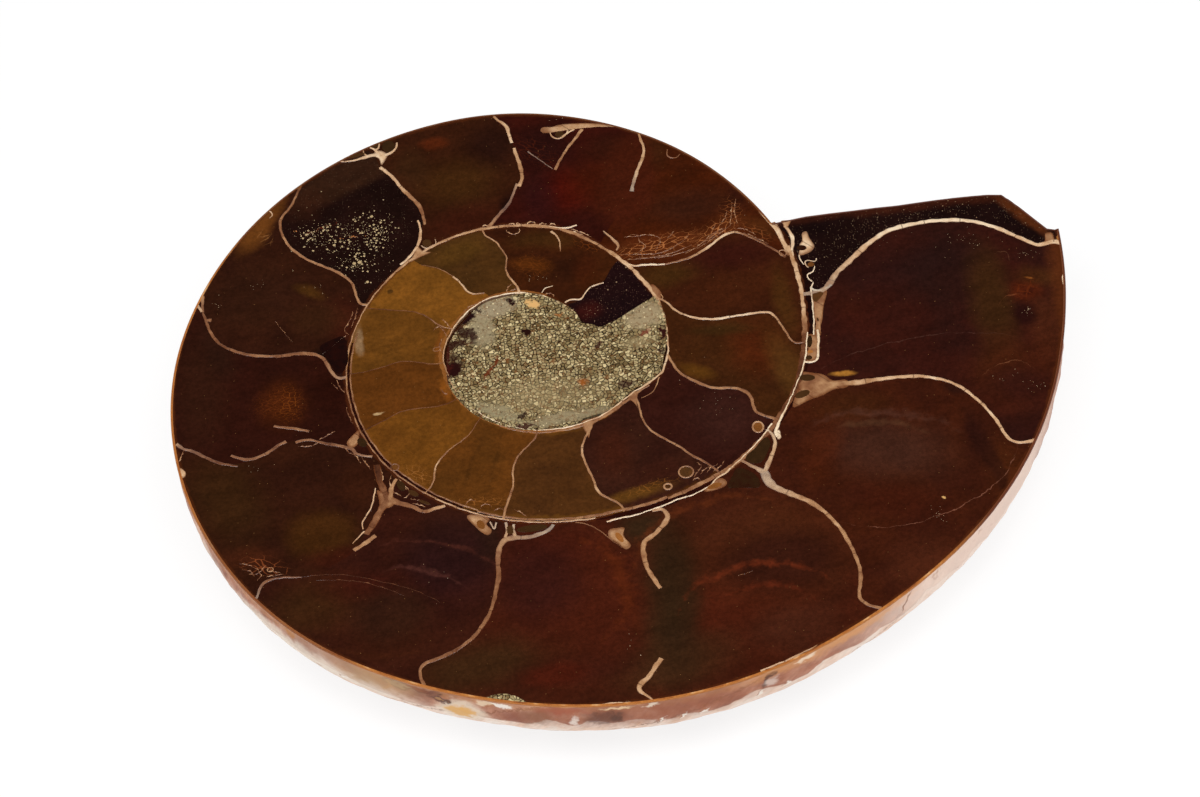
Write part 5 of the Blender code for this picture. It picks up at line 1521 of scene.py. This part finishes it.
def onFace(plan):
    # The points that lie on the sawn face, half a millimetre or more inside its edge
    degrees = lastTurnDegrees(plan)
    table = np.array(sorted(shell["breakLine"]))
    share = (np.linalg.norm(plan, axis=-1) + 0.5) / edgeRadius(degrees)
    return plan[(share < 1.0) & (degrees + 0.6 < np.interp(share, table[:, 0], table[:, 1]))]


def domePiece(name, centres, sizes, material, top=12.597):
    # Many low round caps in one piece: rings of eight points at 1, 0.6 and 0 of the size
    t = np.linspace(0.0, 2.0 * math.pi, 8, endpoint=False)
    circle = np.stack([np.cos(t), np.sin(t)], axis=-1)
    rings = np.array((1.0, 0.6))
    plan = centres[:, None, None] + circle * rings[:, None, None] * sizes[:, None, None, None]
    points = toFrame(plan, ((top - 0.03,), (top - 0.008,))).reshape(len(centres), 16, 3)
    poles = toFrame(np.stack([centres, centres], axis=1), (top, top - 0.2))
    points = np.concatenate([points, poles], axis=1)
    around = np.arange(8)
    after = (around + 1) % 8
    quads = np.stack([around, after, after + 8, around + 8], axis=-1)
    caps = np.stack([around + 8, after + 8, np.full(8, 16)], axis=-1)
    feet = np.stack([after, around, np.full(8, 17)], axis=-1)
    base = 18 * np.arange(len(centres))[:, None, None]
    faces = []
    for part in (quads, caps, feet):
        faces += (part + base).reshape(-1, part.shape[-1]).tolist()
    return makePiece(name, points.reshape(-1, 3), faces, [material], crease=80)


def buildCore():
    # The granular core, and the specks and voids in it
    outline = evenSteps(smoothPath(0.1 * np.array(coreEdge), 0.1, closed=True), count=481)[:-1]
    level = {"top": 12.594, "crown": 0.0, "relief": grainRelief}
    sand = coreMatrix("pyrite_and_calcite_sand")
    padPiece("core_matrix", outline, sand, rings=90, centre=(1.5, -2.5), **level)
    outline = smoothPath(0.1 * np.array(lensEdge), 0.06, closed=True)[:-1]
    padPiece("pyrite_lens", outline, coreMatrix("pyrite_lens_sand"), rings=16, **level)
    for name, code in crystalColours.items():
        newStone(name, 0.3)[2].inputs["Base Color"].default_value = linear(code)
    for name, (surface, size, largest, fields) in crystalFields.items():
        draw = np.random.default_rng(len(name))
        spots = [(x, y) + draw.normal(0.0, 0.5, (count, 2)) * (long, wide)
                 for x, y, long, wide, count in fields]
        spots = onFace(np.concatenate(spots))
        sizes = size * (0.7 + 0.6 * draw.random(len(spots))) + largest * draw.random(len(spots)) ** 9
        room = sizes[:, None] + sizes
        crowded = np.tril(np.linalg.norm(spots[:, None] - spots, axis=-1) < room, -1).any(axis=1)
        domePiece(name, spots[~crowded], sizes[~crowded], bpy.data.materials[surface])


crystalColours = {
    "pyrite_crystals_golden": "bca276", "calcite_crystals_in_cavities": "a88a68",
    "pyrite_crystals_rusty": "b06a30",
}
# Loose crystals: (material, usual and largest added size in mm, (x, y, spread x, spread y, how many))
crystalFields = {
    "pyrite_specks": ("pyrite_crystals_golden", 0.04, 0.12, ((-22.3, 20.2, 5.4, 4, 260),
        (-26.4, 21.6, 2.6, 2, 70), (-18.9, 20.6, 2.6, 3.2, 130), (-21.4, 16.2, 3, 2, 80))),
    "pyrite_grains": ("pyrite_crystals_golden", 0.11, 0.14, ((-27.6, 20.4, 1, 1.2, 14),
        (-27, 21.6, 1, 0.6, 8), (-24.9, 22, 1.4, 1, 12), (-23.4, 19.6, 1.4, 0.8, 10),
        (-20.6, 23.2, 1.6, 1, 9), (-19.6, 19.4, 1.2, 1.2, 10), (-21.3, 16.8, 1, 1.2, 12),
        (-17.8, 20.2, 1.2, 1.8, 10), (-22.1, 15.2, 1, 0.8, 8), (-20.4, 12.4, 0.6, 0.6, 3))),
    "rusty_crystals": ("pyrite_crystals_rusty", 0.09, 0.04, ((-21.9, 20.2, 1.3, 0.08, 10),
        (-28.9, 22, 0.3, 0.3, 2))),
    # Sparks: tiny domes on small crystals, painted pale as their glints: painted highlights.
    "aperture_sparks": ("calcite_crystals_in_cavities", 0.022, 0.03, ((40, 12.6, 6, 2.4, 70),
        (48, 15, 9, 1.4, 80), (57.5, 14, 4, 1.6, 30), (37.2, 10.2, 2.4, 2.4, 40))),
    "chamber_sparks": ("calcite_crystals_in_cavities", 0.035, 0.04, ((52.5, 10, 3.4, 1.6, 26),
        (59.9, 7, 2, 0.8, 12), (54.6, -11.4, 2.2, 1, 9), (57.6, -13.4, 2, 1.4, 12),
        (58.6, -2.2, 0.8, 0.9, 14), (44.2, -31, 0.7, 1.8, 14), (15, -3, 1, 1, 2), (17.6, -5.8, 3, 2.4, 3),
        (20.5, -12, 2.2, 1.8, 14), (7, 4.4, 2.4, 1.2, 10), (0.6, 10.4, 2.2, 0.6, 8),
        (-33.5, 13.2, 1.6, 1.4, 8), (-38.6, 11.6, 1.2, 1.8, 7), (-34.6, -15, 2.6, 0.8, 6),
        (-27, 12, 1.2, 1.4, 5), (27.4, 19.4, 2.6, 1.8, 8), (-14.4, -33.6, 2.4, 5, 6), (8, -46, 4, 4, 5),
        (4.6, 36.8, 1.4, 0.5, 6), (31.6, 11, 0.8, 1.6, 6))),
}

buildPads()
buildCore()
print("pads, cells and core done")


# The stage: a white light table, low light all round, and soft lamps from the front and sides,
# so that nothing bright lies where the polished face mirrors it to the camera
stage = {
    "tilt": 50.5,              # degrees, camera above the table
    "roll": 5.5,               # degrees, camera turned about its own axis
    "distance": 0.540,         # m, camera to the coil's axis
    "aside": (-0.007248, 0.006444),   # m, the coil's axis in the picture, right and up of its middle
    "lens": 135.0,             # mm on a 36 mm sensor
    "tableGlow": 0.84,
    "horizonGlow": 0.4,
    "skyGlow": 0.008,
    # (azimuth from +X, elevation, distance m, size m, watts)
    "lamps": (
        (-130.0, 66.0, 0.9, 0.5, 4.0), (-50.0, 66.0, 0.9, 0.5, 4.0),
        (180.0, 35.0, 0.9, 0.4, 1.0), (0.0, 35.0, 0.9, 0.4, 1.0),
    ),
}


def buildTable():
    # A flat white table just under the fossil
    reach, level = 3.0, -0.00002
    mesh = bpy.data.meshes.new("light_table")
    corners = [(reach * x, reach * y, level) for x, y in ((-1, -1), (1, -1), (1, 1), (-1, 1))]
    mesh.from_pydata(corners, [], [(0, 1, 2, 3)])
    made = bpy.data.materials.new("white_acrylic_light_table")
    made.use_nodes = True
    shader = made.node_tree.nodes["Principled BSDF"]
    shader.inputs["Base Color"].default_value = linear("707070")
    shader.inputs["Roughness"].default_value = 0.6
    shader.inputs["Emission Color"].default_value = linear("ffffff")
    shader.inputs["Emission Strength"].default_value = stage["tableGlow"]
    mesh.materials.append(made)
    table = bpy.data.objects.new("light_table", mesh)
    bpy.context.scene.collection.objects.link(table)


def buildSky():
    # Light by height: bright near the horizon, almost dark above
    world = bpy.data.worlds.new("studio")
    world.use_nodes = True
    tree = world.node_tree
    height = addNode(tree, "SeparateXYZ", (addNode(tree, "TexCoord", {}, "Generated"),), "Z")
    sockets = {"Value": height, "From Min": 0.30, "From Max": 0.58}
    sockets.update({"To Min": stage["horizonGlow"], "To Max": stage["skyGlow"]})
    strength = addNode(tree, "MapRange", sockets, interpolation_type="SMOOTHSTEP")
    background = tree.nodes["Background"]
    background.inputs["Color"].default_value = (1.0, 1.0, 1.0, 1.0)
    tree.links.new(strength, background.inputs["Strength"])
    bpy.context.scene.world = world


def buildLamps(aim):
    # Square soft lamps on a sphere about the fossil, each facing it
    for number, (azimuth, elevation, distance, size, watts) in enumerate(stage["lamps"]):
        level, height = polar(elevation, 1.0)
        way = Vector((*polar(azimuth, level), height))
        lamp = bpy.data.lights.new(f"soft_lamp_{number + 1}", "AREA")
        lamp.size = size
        lamp.energy = watts
        holder = bpy.data.objects.new(lamp.name, lamp)
        turned = way.to_track_quat("Z", "Y").to_matrix().to_4x4()
        holder.matrix_world = Matrix.Translation(aim + way * distance) @ turned
        bpy.context.scene.collection.objects.link(holder)


def buildCamera(aim):
    # right and up are the picture's own axes; the camera stands back from the coil's axis
    tilt, roll = math.radians(stage["tilt"]), math.radians(stage["roll"])
    level = Vector((0.0, math.sin(tilt), math.cos(tilt)))
    across = Vector((1.0, 0.0, 0.0))
    right = across * math.cos(roll) - level * math.sin(roll)
    up = across * math.sin(roll) + level * math.cos(roll)
    back = right.cross(up)
    camera = bpy.data.cameras.new("photo_view")
    camera.lens = stage["lens"]
    camera.sensor_width = 36.0
    camera.clip_end = 20.0
    holder = bpy.data.objects.new("photo_view", camera)
    place = aim - right * stage["aside"][0] - up * stage["aside"][1] + back * stage["distance"]
    turned = Matrix((right, up, back)).transposed().to_4x4()
    holder.matrix_world = Matrix.Translation(place) @ turned
    bpy.context.scene.collection.objects.link(holder)
    bpy.context.scene.camera = holder


coilMiddle = Vector((axisX * 0.001, axisY * 0.001, coil["faceHeight"] * 0.001))
buildTable()
buildSky()
buildLamps(coilMiddle)
buildCamera(coilMiddle)
bpy.context.scene.view_settings.view_transform = "Standard"
print("stage done")
